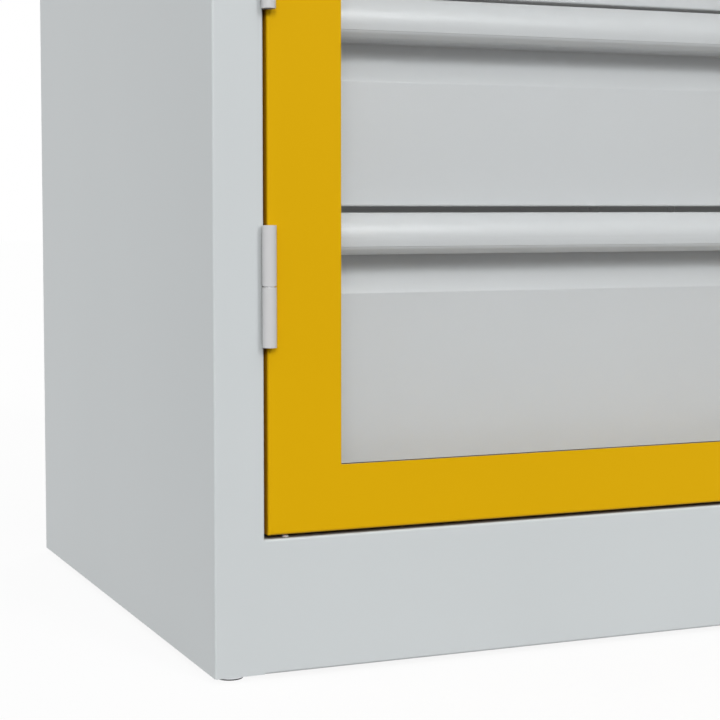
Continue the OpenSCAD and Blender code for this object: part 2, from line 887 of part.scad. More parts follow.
module hinge_washers() {
    color(STEEL) placed() for (z = hinge_zs)
        translate([hinge_x, hinge_y, z + knuckle_l]) difference() {
            cylinder(d = barrel_d, h = washer_t);
            translate([0, 0, -1]) cylinder(d = hinge_pin_d + 2 * pin_play, h = washer_t + 2);
        }
}

// ---- Lock ----

// Turns what is drawn along Z to stand on the lock's axis, from depth y backwards
module on_lock(y) {
    placed() translate([lock_x, y, lock_z]) rotate([-90, 0, 0]) children();
}

module lock_rosette() {
    rim = 1;
    color(BLACK) on_lock(-rosette_h) difference() {
        rotate_extrude() polygon([
            [0, rim], [rosette_d / 2 - 2 * rim, 0], [rosette_d / 2 - rim, 0],
            [rosette_d / 2, rim], [rosette_d / 2, rosette_h], [0, rosette_h]
        ]);
        translate([0, 0, -1]) cylinder(d = spindle_d + 2 * pin_play, h = rosette_h + 2);
    }
}

// Lock body: a threaded sleeve through the stile that the spindle turns in
module lock_body() {
    color(ZINC) on_lock(0) difference() {
        cylinder(d = lock_d, h = cam_y - lock_play);
        translate([0, 0, -1]) cylinder(d = spindle_d + 2 * pin_play, h = cam_y + 2);
    }
}

module lock_nut() {
    nut_t = 3.5;
    across = 25;
    color(STEEL) on_lock(door_d) difference() {
        cylinder(d = across / cos(30), h = nut_t, $fn = 6);
        translate([0, 0, -1]) cylinder(d = lock_d + 2 * pin_play, h = nut_t + 2);
    }
}

// Knob with its spindle: a round grip with two flats to turn it by, and a key cylinder
module lock_knob() {
    collar = 6;
    flat_w = 12;
    key_wall = 2;
    shaft = rosette_h + knob_h + cam_y + cam_t;
    color(BLACK) on_lock(-rosette_h - knob_h) {
        difference() {
            union() {
                difference() {
                    cylinder(d = knob_d, h = knob_h - lock_play);
                    for (side = [-1, 1])
                        translate([side * (flat_w / 2 + knob_d / 2), 0, knob_h / 2 - collar - 1])
                            cube([knob_d, 2 * knob_d, knob_h], center = true);
                }
                cylinder(d = key_d + 2 * key_wall, h = knob_h - lock_play);
            }
            translate([0, 0, -1]) cylinder(d = key_d, h = key_h + 1);
        }
        translate([0, 0, key_h]) cylinder(d = spindle_d, h = shaft - key_h);
    }
}

// Cam: hangs down clear of the stop lip, and swings behind it to lock
module lock_cam() {
    eye_rim = 2;
    color(ZINC) on_lock(cam_y) difference() {
        union() {
            cylinder(d = cam_w + 2 * eye_rim, h = cam_t);
            translate([-cam_w / 2, 0, 0]) cube([cam_w, cam_l - cam_w / 2, cam_t]);
            translate([0, cam_l - cam_w / 2, 0]) cylinder(d = cam_w, h = cam_t);
        }
        translate([0, 0, -1]) cylinder(d = spindle_d, h = cam_t + 2);
    }
}

module lock_cam_screw() {
    head_h = 4;
    head_rim = 2;
    color(STEEL) on_lock(cam_y + cam_t) cylinder(d = spindle_d + 2 * head_rim, h = head_h);
}

side_left();
side_right();
back_panel();
top_cover();
plinth_front();
cabinet_floor();
foot_brackets();
foot_nuts();
foot_front_left();
foot_front_right();
foot_rear_left();
foot_rear_right();
uprights_left();
uprights_right();
filler_left();
filler_right();
runner_outer_left();
runner_outer_right();
runner_screws();
door_panel();
door_inner_frame();
window_seal();
window_pane();
frame_screws();
hinge_frame_knuckles();
hinge_door_knuckles();
hinge_pins();
hinge_washers();
lock_rosette();
lock_body();
lock_nut();
lock_knob();
lock_cam();
lock_cam_screw();
door_buffers();
drawer_front(0);  // drawer_1_front
drawer_tray(0);  // drawer_1_tray
drawer_rails(0);  // drawer_1_rails
drawer_middle_rails(0);  // drawer_1_middle_rails
drawer_outer_cages(0);  // drawer_1_outer_cages
drawer_inner_cages(0);  // drawer_1_inner_cages
drawer_front(1);  // drawer_2_front
drawer_tray(1);  // drawer_2_tray
drawer_rails(1);  // drawer_2_rails
drawer_middle_rails(1);  // drawer_2_middle_rails
drawer_outer_cages(1);  // drawer_2_outer_cages
drawer_inner_cages(1);  // drawer_2_inner_cages
drawer_front(2);  // drawer_3_front
drawer_tray(2);  // drawer_3_tray
drawer_rails(2);  // drawer_3_rails
drawer_middle_rails(2);  // drawer_3_middle_rails
drawer_outer_cages(2);  // drawer_3_outer_cages
drawer_inner_cages(2);  // drawer_3_inner_cages
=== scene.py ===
"""Looks of a reagent drawer cabinet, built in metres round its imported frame.

The frame gives every piece its size and place. This file gives each of them its
finish, and stands finer meshes in for the pieces that the frame holds in a plain
form: drawer fronts, hinges, lock, screws, levelling feet, glazing channel and soft
stops. It then adds the studio and the camera.
"""

import json
import logging
import math
from abc import ABC, abstractmethod
from dataclasses import dataclass, field
from enum import Enum
from typing import Any, Callable, Iterable, Sequence

import bmesh
import bpy
from mathutils import Matrix, Vector


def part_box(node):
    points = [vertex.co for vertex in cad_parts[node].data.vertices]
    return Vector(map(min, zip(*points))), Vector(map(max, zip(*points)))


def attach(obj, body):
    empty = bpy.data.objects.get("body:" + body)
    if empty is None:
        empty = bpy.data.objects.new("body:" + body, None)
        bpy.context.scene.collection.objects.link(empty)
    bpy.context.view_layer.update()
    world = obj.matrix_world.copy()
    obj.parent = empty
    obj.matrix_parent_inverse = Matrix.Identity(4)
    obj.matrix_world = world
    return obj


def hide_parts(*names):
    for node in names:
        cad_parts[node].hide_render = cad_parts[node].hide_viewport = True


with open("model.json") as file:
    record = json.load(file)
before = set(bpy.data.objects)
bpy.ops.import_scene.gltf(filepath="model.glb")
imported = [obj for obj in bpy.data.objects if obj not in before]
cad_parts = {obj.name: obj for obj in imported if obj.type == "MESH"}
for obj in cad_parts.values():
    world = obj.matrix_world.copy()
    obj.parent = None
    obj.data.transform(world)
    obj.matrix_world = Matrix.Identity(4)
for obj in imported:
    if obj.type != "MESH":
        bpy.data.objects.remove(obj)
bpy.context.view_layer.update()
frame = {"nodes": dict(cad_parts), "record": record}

log = logging.getLogger("cabinet")

MM = 1e-3
Colour = tuple[float, float, float]
Pair = tuple[float, float]
Triple = tuple[float, float, float]
Socket = bpy.types.NodeSocket
Sockets = dict[str, Socket]
SHARP_ABOVE = math.radians(32)
ROUND_ABOVE = math.radians(40)
SCREW_SPIN = math.radians(37)
CLEAR = 1 * MM
WHITE = (1.0, 1.0, 1.0, 1.0)


class Slot(Enum):
    """The record's material slots, by what they cover."""

    CARCASS = "grey_paint"
    DRAWERS = "drawer_grey_paint"
    DOOR = "yellow_paint"
    HINGES = "hinge_grey_paint"
    ZINC = "zinc_steel"
    STEEL = "bare_steel"
    GLASS = "clear_glass"
    RUBBER = "black_rubber"
    PLASTIC = "black_plastic"
    NYLON = "white_nylon"


class Facing(Enum):
    """Directions in which a turned piece may point, as turns of +Z."""

    UP = Matrix.Identity(4)
    BACK = Matrix.Rotation(math.radians(-90), 4, "X")
    FRONT = Matrix.Rotation(math.radians(90), 4, "X")
    RIGHT = Matrix.Rotation(math.radians(90), 4, "Y")
    LEFT = Matrix.Rotation(math.radians(-90), 4, "Y")


SLOT_OF = {
    name: Slot(node.material_slots[0].material.name) for name, node in frame["nodes"].items()
}
BODY_OF = {
    name: body
    for body, names in frame["record"]["behaviour"]["bodies"].items()
    for name in names
}


# ---------------------------------------------------------------- node wiring


class Wiring:
    """Adds nodes to one node tree and links them."""

    def __init__(self, tree: bpy.types.NodeTree) -> None:
        """Starts on an existing tree."""
        self.tree = tree

    @classmethod
    def of(cls, owner: bpy.types.Material | bpy.types.World) -> "Wiring":
        """Empties the node tree of a material or a world.

        Args:
            owner: What is to be wired afresh.

        Returns:
            The wiring of its tree.
        """
        owner.use_nodes = True
        owner.node_tree.nodes.clear()
        return cls(owner.node_tree)

    def add(
        self, kind: str, inputs: dict[str | int, Any] | None = None, **settings: Any
    ) -> bpy.types.Node:
        """Adds one node.

        Args:
            kind: The node's type, such as ShaderNodeBump.
            inputs: What feeds its inputs, by name or number: a value or a socket.
            settings: The node's own properties.

        Returns:
            The new node.
        """
        node = self.tree.nodes.new(kind)
        for name, value in settings.items():
            setattr(node, name, value)
        for name, value in (inputs or {}).items():
            self.feed(node.inputs[name], value)
        return node

    def feed(self, socket: Socket, value: Any) -> None:
        """Links a socket into another one, or sets its value.

        Args:
            socket: The input to feed.
            value: An output socket, or a plain value.
        """
        if isinstance(value, Socket):
            self.tree.links.new(value, socket)
        else:
            socket.default_value = value

    def math(self, operation: str, *values: Any) -> Socket:
        """Works out one number from others, by the Math node's operation."""
        return self.add("ShaderNodeMath", dict(enumerate(values)), operation=operation).outputs[0]

    def noise(self, place: Socket, scale: Any, detail: float, roughness: float = 0.5) -> Socket:
        """Adds a noise from 0 to 1 with a number of waves per metre."""
        inputs = {"Vector": place, "Scale": scale, "Detail": detail, "Roughness": roughness}
        return self.add("ShaderNodeTexNoise", inputs).outputs["Fac"]

    def spread(self, value: Any, low: Any, high: Any) -> Socket:
        """Maps a mask from 0..1 to low..high."""
        inputs = {"Value": value, "To Min": low, "To Max": high}
        return self.add("ShaderNodeMapRange", inputs).outputs["Result"]

    def around(self, value: Socket, middle: float, swing: float) -> Socket:
        """Maps a mask from 0..1 to a swing below and above a middle."""
        return self.spread(value, middle - swing, middle + swing)

    def surface_point(self) -> Socket:
        """Returns the shaded point in its piece's own coordinates."""
        return self.add("ShaderNodeTexCoord").outputs["Object"]

    def tinted(self, colour: Colour, amount: Any) -> Socket:
        """Makes a colour lighter and darker by an amount that changes over the surface."""
        node = self.add("ShaderNodeVectorMath", {0: colour, "Scale": amount}, operation="SCALE")
        return node.outputs["Vector"]

    def stretched(self, place: Socket, scale: Triple) -> Socket:
        """Scales a point along each axis."""
        return self.add("ShaderNodeMapping", {"Vector": place, "Scale": scale}).outputs[0]

    def blend(self, share: Any, first: Any, second: Any) -> Socket:
        """Mixes two colours by the share of the second one."""
        node = self.add("ShaderNodeMix", {0: share, 6: first, 7: second}, data_type="RGBA")
        return node.outputs[2]

    def either(self, share: Any, first: Any, second: Any) -> Socket:
        """Mixes two shaders by the share of the second one."""
        return self.add("ShaderNodeMixShader", {0: share, 1: first, 2: second}).outputs[0]

    def rays(self, *kinds: str) -> Socket:
        """Returns 1 where a ray is of one of the kinds, such as Shadow, and 0 elsewhere."""
        path = self.add("ShaderNodeLightPath").outputs
        found, *others = (path[f"Is {kind} Ray"] for kind in kinds)
        for other in others:
            found = self.math("MAXIMUM", found, other)
        return found


@dataclass(frozen=True)
class Effect:
    """A shader node group that finishes share, built when it is first used.

    Attributes:
        name: The group's name.
        inputs: Its number inputs with their usual values.
        outputs: Its number outputs.
        wire: Draws its inside, from the group's wiring and its input sockets to
            the sockets that feed the outputs.
    """

    name: str
    inputs: dict[str, float]
    outputs: tuple[str, ...]
    wire: Callable[[Wiring, Sockets], Sockets]

    def tree(self) -> bpy.types.NodeTree:
        """Finds the group, or builds it."""
        found = bpy.data.node_groups.get(self.name)
        if found is not None:
            return found
        tree = bpy.data.node_groups.new(self.name, "ShaderNodeTree")
        number = {"socket_type": "NodeSocketFloat"}
        for name, value in self.inputs.items():
            tree.interface.new_socket(name, in_out="INPUT", **number).default_value = value
        for name in self.outputs:
            tree.interface.new_socket(name, in_out="OUTPUT", **number)
        wiring = Wiring(tree)
        entry = wiring.add("NodeGroupInput")
        made = self.wire(wiring, {name: entry.outputs[name] for name in self.inputs})
        wiring.add("NodeGroupOutput", made)
        return tree

    def place(self, wiring: Wiring, **values: float) -> Sockets:
        """Puts the group into a material.

        Args:
            wiring: The material's wiring.
            values: The group's inputs in this material.

        Returns:
            The group's outputs by name.
        """
        node = wiring.add("ShaderNodeGroup", node_tree=self.tree())
        for name, value in values.items():
            node.inputs[name].default_value = value
        return {name: node.outputs[name] for name in self.outputs}


def wire_orange_peel(wiring: Wiring, sockets: Sockets) -> Sockets:
    """Draws the skin of sprayed and baked powder: a wavy surface over slow changes of tone.

    Args:
        wiring: The group's wiring.
        sockets: Wave, the waves per metre, and Speck, the grains per metre.

    Returns:
        Height of the skin, Tone of its colour and Gloss, all from 0 to 1.
    """
    clouds_per_metre, streaks_per_metre = 4.0, (9.0, 9.0, 2.0)
    grain_share, cloud_share, drift_share = 0.25, 0.6, 0.4
    place = wiring.surface_point()
    waves = wiring.noise(place, sockets["Wave"], detail=1.5)
    grain = wiring.noise(place, sockets["Speck"], detail=0.0)
    height = wiring.math("MULTIPLY_ADD", grain, grain_share, waves)
    cloud = wiring.noise(place, clouds_per_metre, detail=3.0, roughness=0.6)
    drift = wiring.noise(wiring.stretched(place, streaks_per_metre), 1.0, detail=2.0)
    faint = wiring.math("MULTIPLY", drift, drift_share)
    tone = wiring.math("MULTIPLY_ADD", cloud, cloud_share, faint)
    return {"Height": height, "Tone": tone, "Gloss": cloud}


def wire_rolled(wiring: Wiring, sockets: Sockets) -> Sockets:
    """Draws sheet metal from the rolling mill: fine lines along its length, and spangle.

    Args:
        wiring: The group's wiring.
        sockets: Lines across one metre, and Cells, the zinc crystals along one metre.

    Returns:
        Lines and Crystals, both from 0 to 1.
    """
    drawn_out = (1.0, 0.02, 1.0)
    place = wiring.surface_point()
    lines = wiring.noise(wiring.stretched(place, drawn_out), sockets["Lines"], detail=2.0)
    inputs = {"Vector": place, "Scale": sockets["Cells"]}
    cells = wiring.add("ShaderNodeTexVoronoi", inputs, feature="F1").outputs["Color"]
    crystals = wiring.add("ShaderNodeSeparateColor", {"Color": cells}).outputs["Red"]
    return {"Lines": lines, "Crystals": crystals}


def wire_moulded(wiring: Wiring, sockets: Sockets) -> Sockets:
    """Draws the skin that a mould or an extruder leaves on plastic and rubber.

    Args:
        wiring: The group's wiring.
        sockets: Grain, the pits of the skin per metre.

    Returns:
        Height of the skin and Bloom, the dull patches on it, both from 0 to 1.
    """
    patches_per_metre = 60.0
    place = wiring.surface_point()
    pits = wiring.noise(place, sockets["Grain"], detail=2.0, roughness=0.7)
    bloom = wiring.noise(place, patches_per_metre, detail=4.0, roughness=0.65)
    return {"Height": pits, "Bloom": bloom}


def wire_painted_gap_shade(wiring: Wiring, sockets: Sockets) -> Sockets:
    """Finds the narrow gaps and inner corners for painted shade, which darkens the colour where
    shade falls.

    Args:
        wiring: The group's wiring.
        sockets: Reach, how far away a wall still counts, Free, the open share of the
            sky over a surface that gets no painted shade, and Shut, the one where the painted
            shade is full.

    Returns:
        Depth, from 0 in the open to 1 deep in a gap.
    """
    reach = {"Distance": sockets["Reach"]}
    # Ambient occlusion drives the painted shade: the less sky a point sees, the darker it is
    # painted.
    sky = wiring.add("ShaderNodeAmbientOcclusion", reach, samples=6).outputs["AO"]
    inputs = {"Value": sky, "From Min": sockets["Free"], "From Max": sockets["Shut"]}
    return {"Depth": wiring.add("ShaderNodeMapRange", inputs).outputs["Result"]}


ORANGE_PEEL = Effect(
    "orange_peel", {"Wave": 420.0, "Speck": 2600.0}, ("Height", "Tone", "Gloss"), wire_orange_peel
)
ROLLED = Effect(
    "rolled_metal", {"Lines": 1800.0, "Cells": 110.0}, ("Lines", "Crystals"), wire_rolled
)
MOULDED = Effect("moulded_skin", {"Grain": 3000.0}, ("Height", "Bloom"), wire_moulded)
# Painted shade in narrow gaps and inner corners, from ambient occlusion.
PAINTED_GAP_SHADE = Effect("painted_gap_shade", {"Reach": 8 * MM, "Free": 0.36, "Shut": 0.10}, ("Depth",), wire_painted_gap_shade)


# ------------------------------------------------------------------- finishes


@dataclass(frozen=True)
class Finish(ABC):
    """What covers a surface.

    Attributes:
        name: The material's name.
    """

    name: str

    def material(self) -> bpy.types.Material:
        """Finds the finish's material, or makes it."""
        found = bpy.data.materials.get(self.name)
        if found is not None:
            return found
        made = bpy.data.materials.new(self.name)
        wiring = Wiring.of(made)
        wiring.add("ShaderNodeOutputMaterial", {"Surface": self.surface(wiring)})
        return made

    @abstractmethod
    def surface(self, wiring: Wiring) -> Socket:
        """Wires the finish and returns its shader."""


@dataclass(frozen=True)
class Skin(Finish):
    """An opaque finish with a fine relief.

    Attributes:
        colour: Its colour, linear.
        roughness: Its mean roughness.
        depth: Depth of its relief.
    """

    colour: Colour
    roughness: float
    depth: float

    def shader(
        self, wiring: Wiring, colour: Socket, gloss: Socket, height: Socket, **more: Any
    ) -> Socket:
        """Wires the shader of the finish.

        Args:
            wiring: The material's wiring.
            colour: Its colour from place to place.
            gloss: Its roughness from place to place.
            height: Its relief, from 0 to 1.
            more: Its other inputs, with underscores for spaces.

        Returns:
            The shader's socket.
        """
        relief = wiring.add("ShaderNodeBump", {"Distance": self.depth, "Height": height})
        inputs = {"Base Color": colour, "Roughness": gloss, "Normal": relief.outputs["Normal"]}
        inputs |= {name.replace("_", " "): value for name, value in more.items()}
        return wiring.add("ShaderNodeBsdfPrincipled", inputs).outputs["BSDF"]


@dataclass(frozen=True)
class PowderCoat(Skin):
    """Sprayed and baked powder paint, darkened in narrow gaps and corners by painted shade.

    Attributes:
        wave: Waves of its orange peel per metre.
        uneven: Share by which its tone wanders.
        patchy: How far its roughness wanders.
        specular: How strongly it mirrors, where 0.5 is a plain gloss paint.
        sheen: Colour of what it mirrors head on.
        painted_shade_colour: Its colour deep in a narrow gap: painted shade, warmed to stand for
            light bounced between the gap's walls.
    """

    roughness: float = 0.42
    depth: float = 0.008 * MM
    wave: float = 420.0
    uneven: float = 0.03
    patchy: float = 0.02
    specular: float = 0.35
    sheen: Colour = (1.0, 1.0, 1.0)
    painted_shade_colour: Colour = (0.100, 0.072, 0.050)

    def surface(self, wiring: Wiring) -> Socket:
        """Wires the paint and returns its shader."""
        skin = ORANGE_PEEL.place(wiring, Wave=self.wave, Speck=6 * self.wave)
        tone = wiring.around(skin["Tone"], 1.0, self.uneven)
        gloss = wiring.around(skin["Gloss"], self.roughness, self.patchy)
        # Painted shade: deep in gaps and corners the colour turns towards a darker, warmer tone.
        depth = PAINTED_GAP_SHADE.place(wiring)["Depth"]
        colour = wiring.blend(depth, wiring.tinted(self.colour, tone), (*self.painted_shade_colour, 1.0))
        return self.shader(
            wiring, colour, gloss, skin["Height"],
            Specular_IOR_Level=self.specular, Specular_Tint=(*self.sheen, 1.0),
        )


@dataclass(frozen=True)
class Metal(Skin):
    """Bare or plated steel as it comes from the mill, the press or the lathe.

    Attributes:
        lines: Rolling lines across one metre.
        cells: Crystals of the plating along one metre.
        spangle: Share by which the crystals differ in tone.
        streaky: What the lines take from its roughness and add to it.
    """

    depth: float = 0.006 * MM
    lines: float = 1800.0
    cells: float = 110.0
    spangle: float = 0.05
    streaky: Pair = (-0.06, 0.10)

    def surface(self, wiring: Wiring) -> Socket:
        """Wires the metal and returns its shader."""
        sheet = ROLLED.place(wiring, Lines=self.lines, Cells=self.cells)
        tone = wiring.around(sheet["Crystals"], 1.0, self.spangle)
        bright, dull = self.streaky
        gloss = wiring.spread(sheet["Lines"], self.roughness + bright, self.roughness + dull)
        colour = wiring.tinted(self.colour, tone)
        return self.shader(wiring, colour, gloss, sheet["Lines"], Metallic=1.0)


@dataclass(frozen=True)
class Moulded(Skin):
    """Plastic or rubber as it leaves its mould.

    Attributes:
        grain: Pits of its skin per metre.
        bloom: Share by which dull patches lighten it.
        patchy: How far its roughness wanders.
        glow: Share of the light that scatters below its surface.
        scatter: How deep that light goes.
    """

    depth: float = 0.02 * MM
    grain: float = 3000.0
    bloom: float = 0.15
    patchy: float = 0.08
    glow: float = 0.0
    scatter: float = 1.5 * MM

    def surface(self, wiring: Wiring) -> Socket:
        """Wires the moulded skin and returns its shader."""
        skin = MOULDED.place(wiring, Grain=self.grain)
        tone = wiring.around(skin["Bloom"], 1.0, self.bloom)
        dull = wiring.around(skin["Bloom"], self.roughness, self.patchy)
        return self.shader(
            wiring, wiring.tinted(self.colour, tone), dull, skin["Height"],
            Subsurface_Weight=self.glow, Subsurface_Scale=self.scatter,
        )


@dataclass(frozen=True)
class Glass(Finish):
    """Clear float glass that lets the studio's light through to what is behind it.

    Attributes:
        colour: Its faint tint, linear.
        let_in: What one face lets through of the light on its way in.
        ior: Index of refraction.
    """

    colour: Colour
    let_in: Colour = (0.938, 0.946, 0.946)
    ior: float = 1.5

    def surface(self, wiring: Wiring) -> Socket:
        """Wires the glass and returns its shader."""
        glass = wiring.add("ShaderNodeBsdfPrincipled", {
            "Base Color": (*self.colour, 1.0),
            "Roughness": 0.0,
            "IOR": self.ior,
            "Transmission Weight": 1.0,
        })
        clear = wiring.add("ShaderNodeBsdfTransparent", {"Color": (*self.let_in, 1.0)})
        indirect = wiring.rays("Shadow", "Diffuse")
        return wiring.either(indirect, glass.outputs[0], clear.outputs[0])


YELLOW_SHEEN: Colour = (1.0, 0.75, 0.12)
FINISHES: dict[Slot, Finish] = {
    Slot.CARCASS: PowderCoat("light_grey_powder", (0.600, 0.632, 0.642)),
    Slot.DRAWERS: PowderCoat(
        "drawer_grey_powder", (0.574, 0.585, 0.597), roughness=0.32, specular=0.80, patchy=0.01
    ),
    # The yellow's painted shade in gaps is orange-brown, standing for shade and for light bounced
    # between yellow walls.
    Slot.DOOR: PowderCoat(
        "signal_yellow_powder", (0.700, 0.395, 0.002), roughness=0.40, sheen=YELLOW_SHEEN,
        painted_shade_colour=(0.620, 0.250, 0.002),
    ),
    Slot.HINGES: PowderCoat("hinge_grey_powder", (0.590, 0.590, 0.595), roughness=0.38),
    Slot.ZINC: Metal("zinc_plating", (0.72, 0.74, 0.76), 0.34),
    Slot.STEEL: Metal("turned_steel", (0.60, 0.60, 0.61), 0.26, spangle=0.02),
    Slot.GLASS: Glass("float_glass", (0.975, 0.984, 0.984)),
    Slot.RUBBER: Moulded("sealing_rubber", (0.018, 0.018, 0.019), 0.60, grain=1800.0),
    Slot.PLASTIC: Moulded("black_moulding", (0.022, 0.022, 0.024), 0.42),
    Slot.NYLON: Moulded("white_nylon_stop", (0.62, 0.62, 0.60), 0.45, bloom=0.03, glow=0.25),
}


# --------------------------------------------------------------------- shapes


@dataclass
class Shape:
    """A closed mesh in the making.

    Attributes:
        points: Its corners, in metres.
        faces: Its faces, as numbers of corners.
    """

    points: list[Vector] = field(default_factory=list)
    faces: list[tuple[int, ...]] = field(default_factory=list)

    def ring(self, corners: Iterable[Sequence[float]]) -> list[int]:
        """Adds corners and returns their numbers."""
        first = len(self.points)
        self.points += [Vector(corner) for corner in corners]
        return list(range(first, len(self.points)))

    def skin(self, rings: Sequence[Sequence[int]], closed: bool = True) -> None:
        """Joins neighbouring rows of corners with quads.

        Args:
            rings: Rows of corner numbers, all of one length.
            closed: Whether each row runs round to its start.
        """
        for low, high in zip(rings, rings[1:]):
            count = len(low)
            for i in range(count if closed else count - 1):
                j = (i + 1) % count
                self.faces.append((low[i], low[j], high[j], high[i]))

    def join(self, other: "Shape", turn: Matrix = Matrix.Identity(4)) -> "Shape":
        """Takes in another shape.

        Args:
            other: The shape to add.
            turn: Where to put it.

        Returns:
            This shape.
        """
        first = len(self.points)
        self.points += [turn @ point for point in other.points]
        self.faces += [tuple(first + number for number in face) for face in other.faces]
        return self

    def mesh(self, name: str) -> bpy.types.Mesh:
        """Makes a mesh with all normals outwards."""
        made = bpy.data.meshes.new(name)
        made.from_pydata([tuple(point) for point in self.points], [], self.faces)
        work = bmesh.new()
        work.from_mesh(made)
        bmesh.ops.recalc_face_normals(work, faces=work.faces)
        work.to_mesh(made)
        work.free()
        return made


def prism(outline: Sequence[Pair], depth: float, top: float = 1.0) -> Shape:
    """Extrudes an outline from z = 0 upwards.

    Args:
        outline: Corners in x, y.
        depth: Height of the prism.
        top: Size of its upper end beside the lower one.

    Returns:
        The closed prism.
    """
    shape = Shape()
    low = shape.ring((x, y, 0.0) for x, y in outline)
    high = shape.ring((top * x, top * y, depth) for x, y in outline)
    shape.skin([low, high])
    shape.faces += [tuple(reversed(low)), tuple(high)]
    return shape


def arc(centre: Pair, radius: float, start: float, stop: float, steps: int = 8) -> list[Pair]:
    """Lists the points of an arc from one angle to another, in degrees, both included."""
    angles = [math.radians(start + (stop - start) * i / steps) for i in range(steps + 1)]
    return [(centre[0] + radius * math.cos(a), centre[1] + radius * math.sin(a)) for a in angles]


def lathe(profile: Sequence[Pair], sides: int = 64) -> Shape:
    """Turns a profile round +Z.

    Args:
        profile: Points in radius, height. A closed tube's profile repeats its first
            point at the end, and a solid's starts and ends on the axis.
        sides: Facets round the axis.

    Returns:
        The turned shape.
    """
    shape = Shape()
    tube = profile[0] == profile[-1]
    rings: list[list[int]] = []
    for radius, height in profile[:-1] if tube else profile:
        count = sides if radius > 1e-9 else 1
        angles = [2 * math.pi * i / sides for i in range(count)]
        row = ((radius * math.cos(a), radius * math.sin(a), height) for a in angles)
        rings.append(shape.ring(row))
    for low, high in zip(rings, rings[1:] + rings[:1] if tube else rings[1:]):
        for i in range(sides):
            j = (i + 1) % sides
            below = (low[i % len(low)], low[j % len(low)])
            above = (high[j % len(high)], high[i % len(high)])
            face = tuple(dict.fromkeys(below + above))
            if len(face) > 2:
                shape.faces.append(face)
    return shape


def rod(radius: float, length: float, edge: float, sides: int = 64) -> Shape:
    """Turns a solid rod from z = 0 up, with an edge of the given radius at both ends."""
    low = arc((radius - edge, edge), edge, -90, 0, 4)
    high = arc((radius - edge, length - edge), edge, 0, 90, 4)
    return lathe([(0.0, 0.0), *low, *high, (0.0, length)], sides)


def thread(
    radius: float, length: float, pitch: float, bore: float = 0.0, sides: int = 28
) -> Shape:
    """Cuts a screw thread into a rod or a sleeve.

    Args:
        radius: Outer radius of the thread.
        length: Its length, from z = 0 up.
        pitch: Rise of one turn.
        bore: Radius of the bore, or 0 for a rod.
        sides: Facets round it.

    Returns:
        The threaded shape, with a chamfer at each end.
    """
    shape = Shape()
    depth = 0.6 * pitch
    rows = round(4 * length / pitch)
    turns = [side / sides for side in range(sides)]
    rays = [(math.cos(2 * math.pi * turn), math.sin(2 * math.pi * turn)) for turn in turns]
    rings = []
    for row in range(rows + 1):
        z = length * row / rows
        chamfer = max(0.0, depth - min(z, length - z))
        corners = []
        for turn, (x, y) in zip(turns, rays):
            wave = abs(2 * ((z / pitch - turn) % 1.0) - 1)
            r = radius - max(depth * wave, chamfer)
            corners.append((r * x, r * y, z))
        rings.append(shape.ring(corners))
    if bore:
        for z in (length, 0.0):
            rings.append(shape.ring((bore * x, bore * y, z) for x, y in rays))
        shape.skin(rings + rings[:1])
    else:
        shape.skin(rings)
        shape.faces += [tuple(reversed(rings[0])), tuple(rings[-1])]
    return shape


def lowered(cutter: Shape) -> Shape:
    """Moves a cutter down, so that it starts clear of the face at z = 0."""
    return Shape().join(cutter, at((0.0, 0.0, -CLEAR)))


def hexagon(across: float) -> list[Pair]:
    """Lists a hexagon's corners from its width across flats."""
    return arc((0.0, 0.0), across / 2 / math.cos(math.pi / 6), 0, 300, 5)


# --------------------------------------------------------------------- pieces


def linked(name: str, data: bpy.types.ID) -> bpy.types.Object:
    """Makes an object of a mesh, a light or a camera and links it into the scene."""
    made = bpy.data.objects.new(name, data)
    bpy.context.scene.collection.objects.link(made)
    return made


def carved(shape: Shape, cuts: Sequence[Shape], bevel: float = 0.0) -> bpy.types.Mesh:
    """Cuts shapes out of another one.

    Args:
        shape: The blank.
        cuts: What is cut out of it.
        bevel: Width to which the edges that remain are broken.

    Returns:
        The carved mesh.
    """
    blank = linked("blank", shape.mesh("blank"))
    helpers = [blank]
    for cut in cuts:
        helpers.append(linked("cutter", cut.mesh("cutter")))
        step = blank.modifiers.new("cut", "BOOLEAN")
        step.object = helpers[-1]
        step.solver = "EXACT"
    if bevel:
        add_bevel(blank, bevel)
    graph = bpy.context.evaluated_depsgraph_get()
    made = bpy.data.meshes.new_from_object(blank.evaluated_get(graph))
    for helper in helpers:
        bpy.data.objects.remove(helper)
    return made


def add_bevel(piece: bpy.types.Object, width: float, segments: int = 3) -> None:
    """Rounds a piece's sharp edges.

    Args:
        piece: The piece.
        width: Width of the rounding.
        segments: Faces across it.
    """
    rounding = piece.modifiers.new("rounding", "BEVEL")
    rounding.width = width
    rounding.segments = segments
    rounding.limit_method = "ANGLE"
    rounding.angle_limit = ROUND_ABOVE
    rounding.use_clamp_overlap = True


def show(
    name: str, mesh: bpy.types.Mesh, slot: Slot, body: str, nodes: Sequence[str] = (),
    bevel: float = 0.0,
) -> None:
    """Puts a finished piece on its body.

    Args:
        name: The piece's name.
        mesh: Its mesh, in the cabinet's frame.
        slot: The record's slot that it takes its finish from.
        body: The body it rides on.
        nodes: The frame's nodes that it stands for.
        bevel: Width of the rounding of its edges.
    """
    piece = linked(name, mesh)
    mesh.materials.clear()
    mesh.materials.append(FINISHES[slot].material())
    mesh.polygons.foreach_set("use_smooth", [True] * len(mesh.polygons))
    mesh.set_sharp_from_angle(angle=SHARP_ABOVE)
    if bevel:
        add_bevel(piece, bevel)
    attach(piece, body)
    if nodes:
        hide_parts(*nodes)
    log.info("piece %s on %s stands for %s", name, body, ", ".join(nodes) or "nothing else")


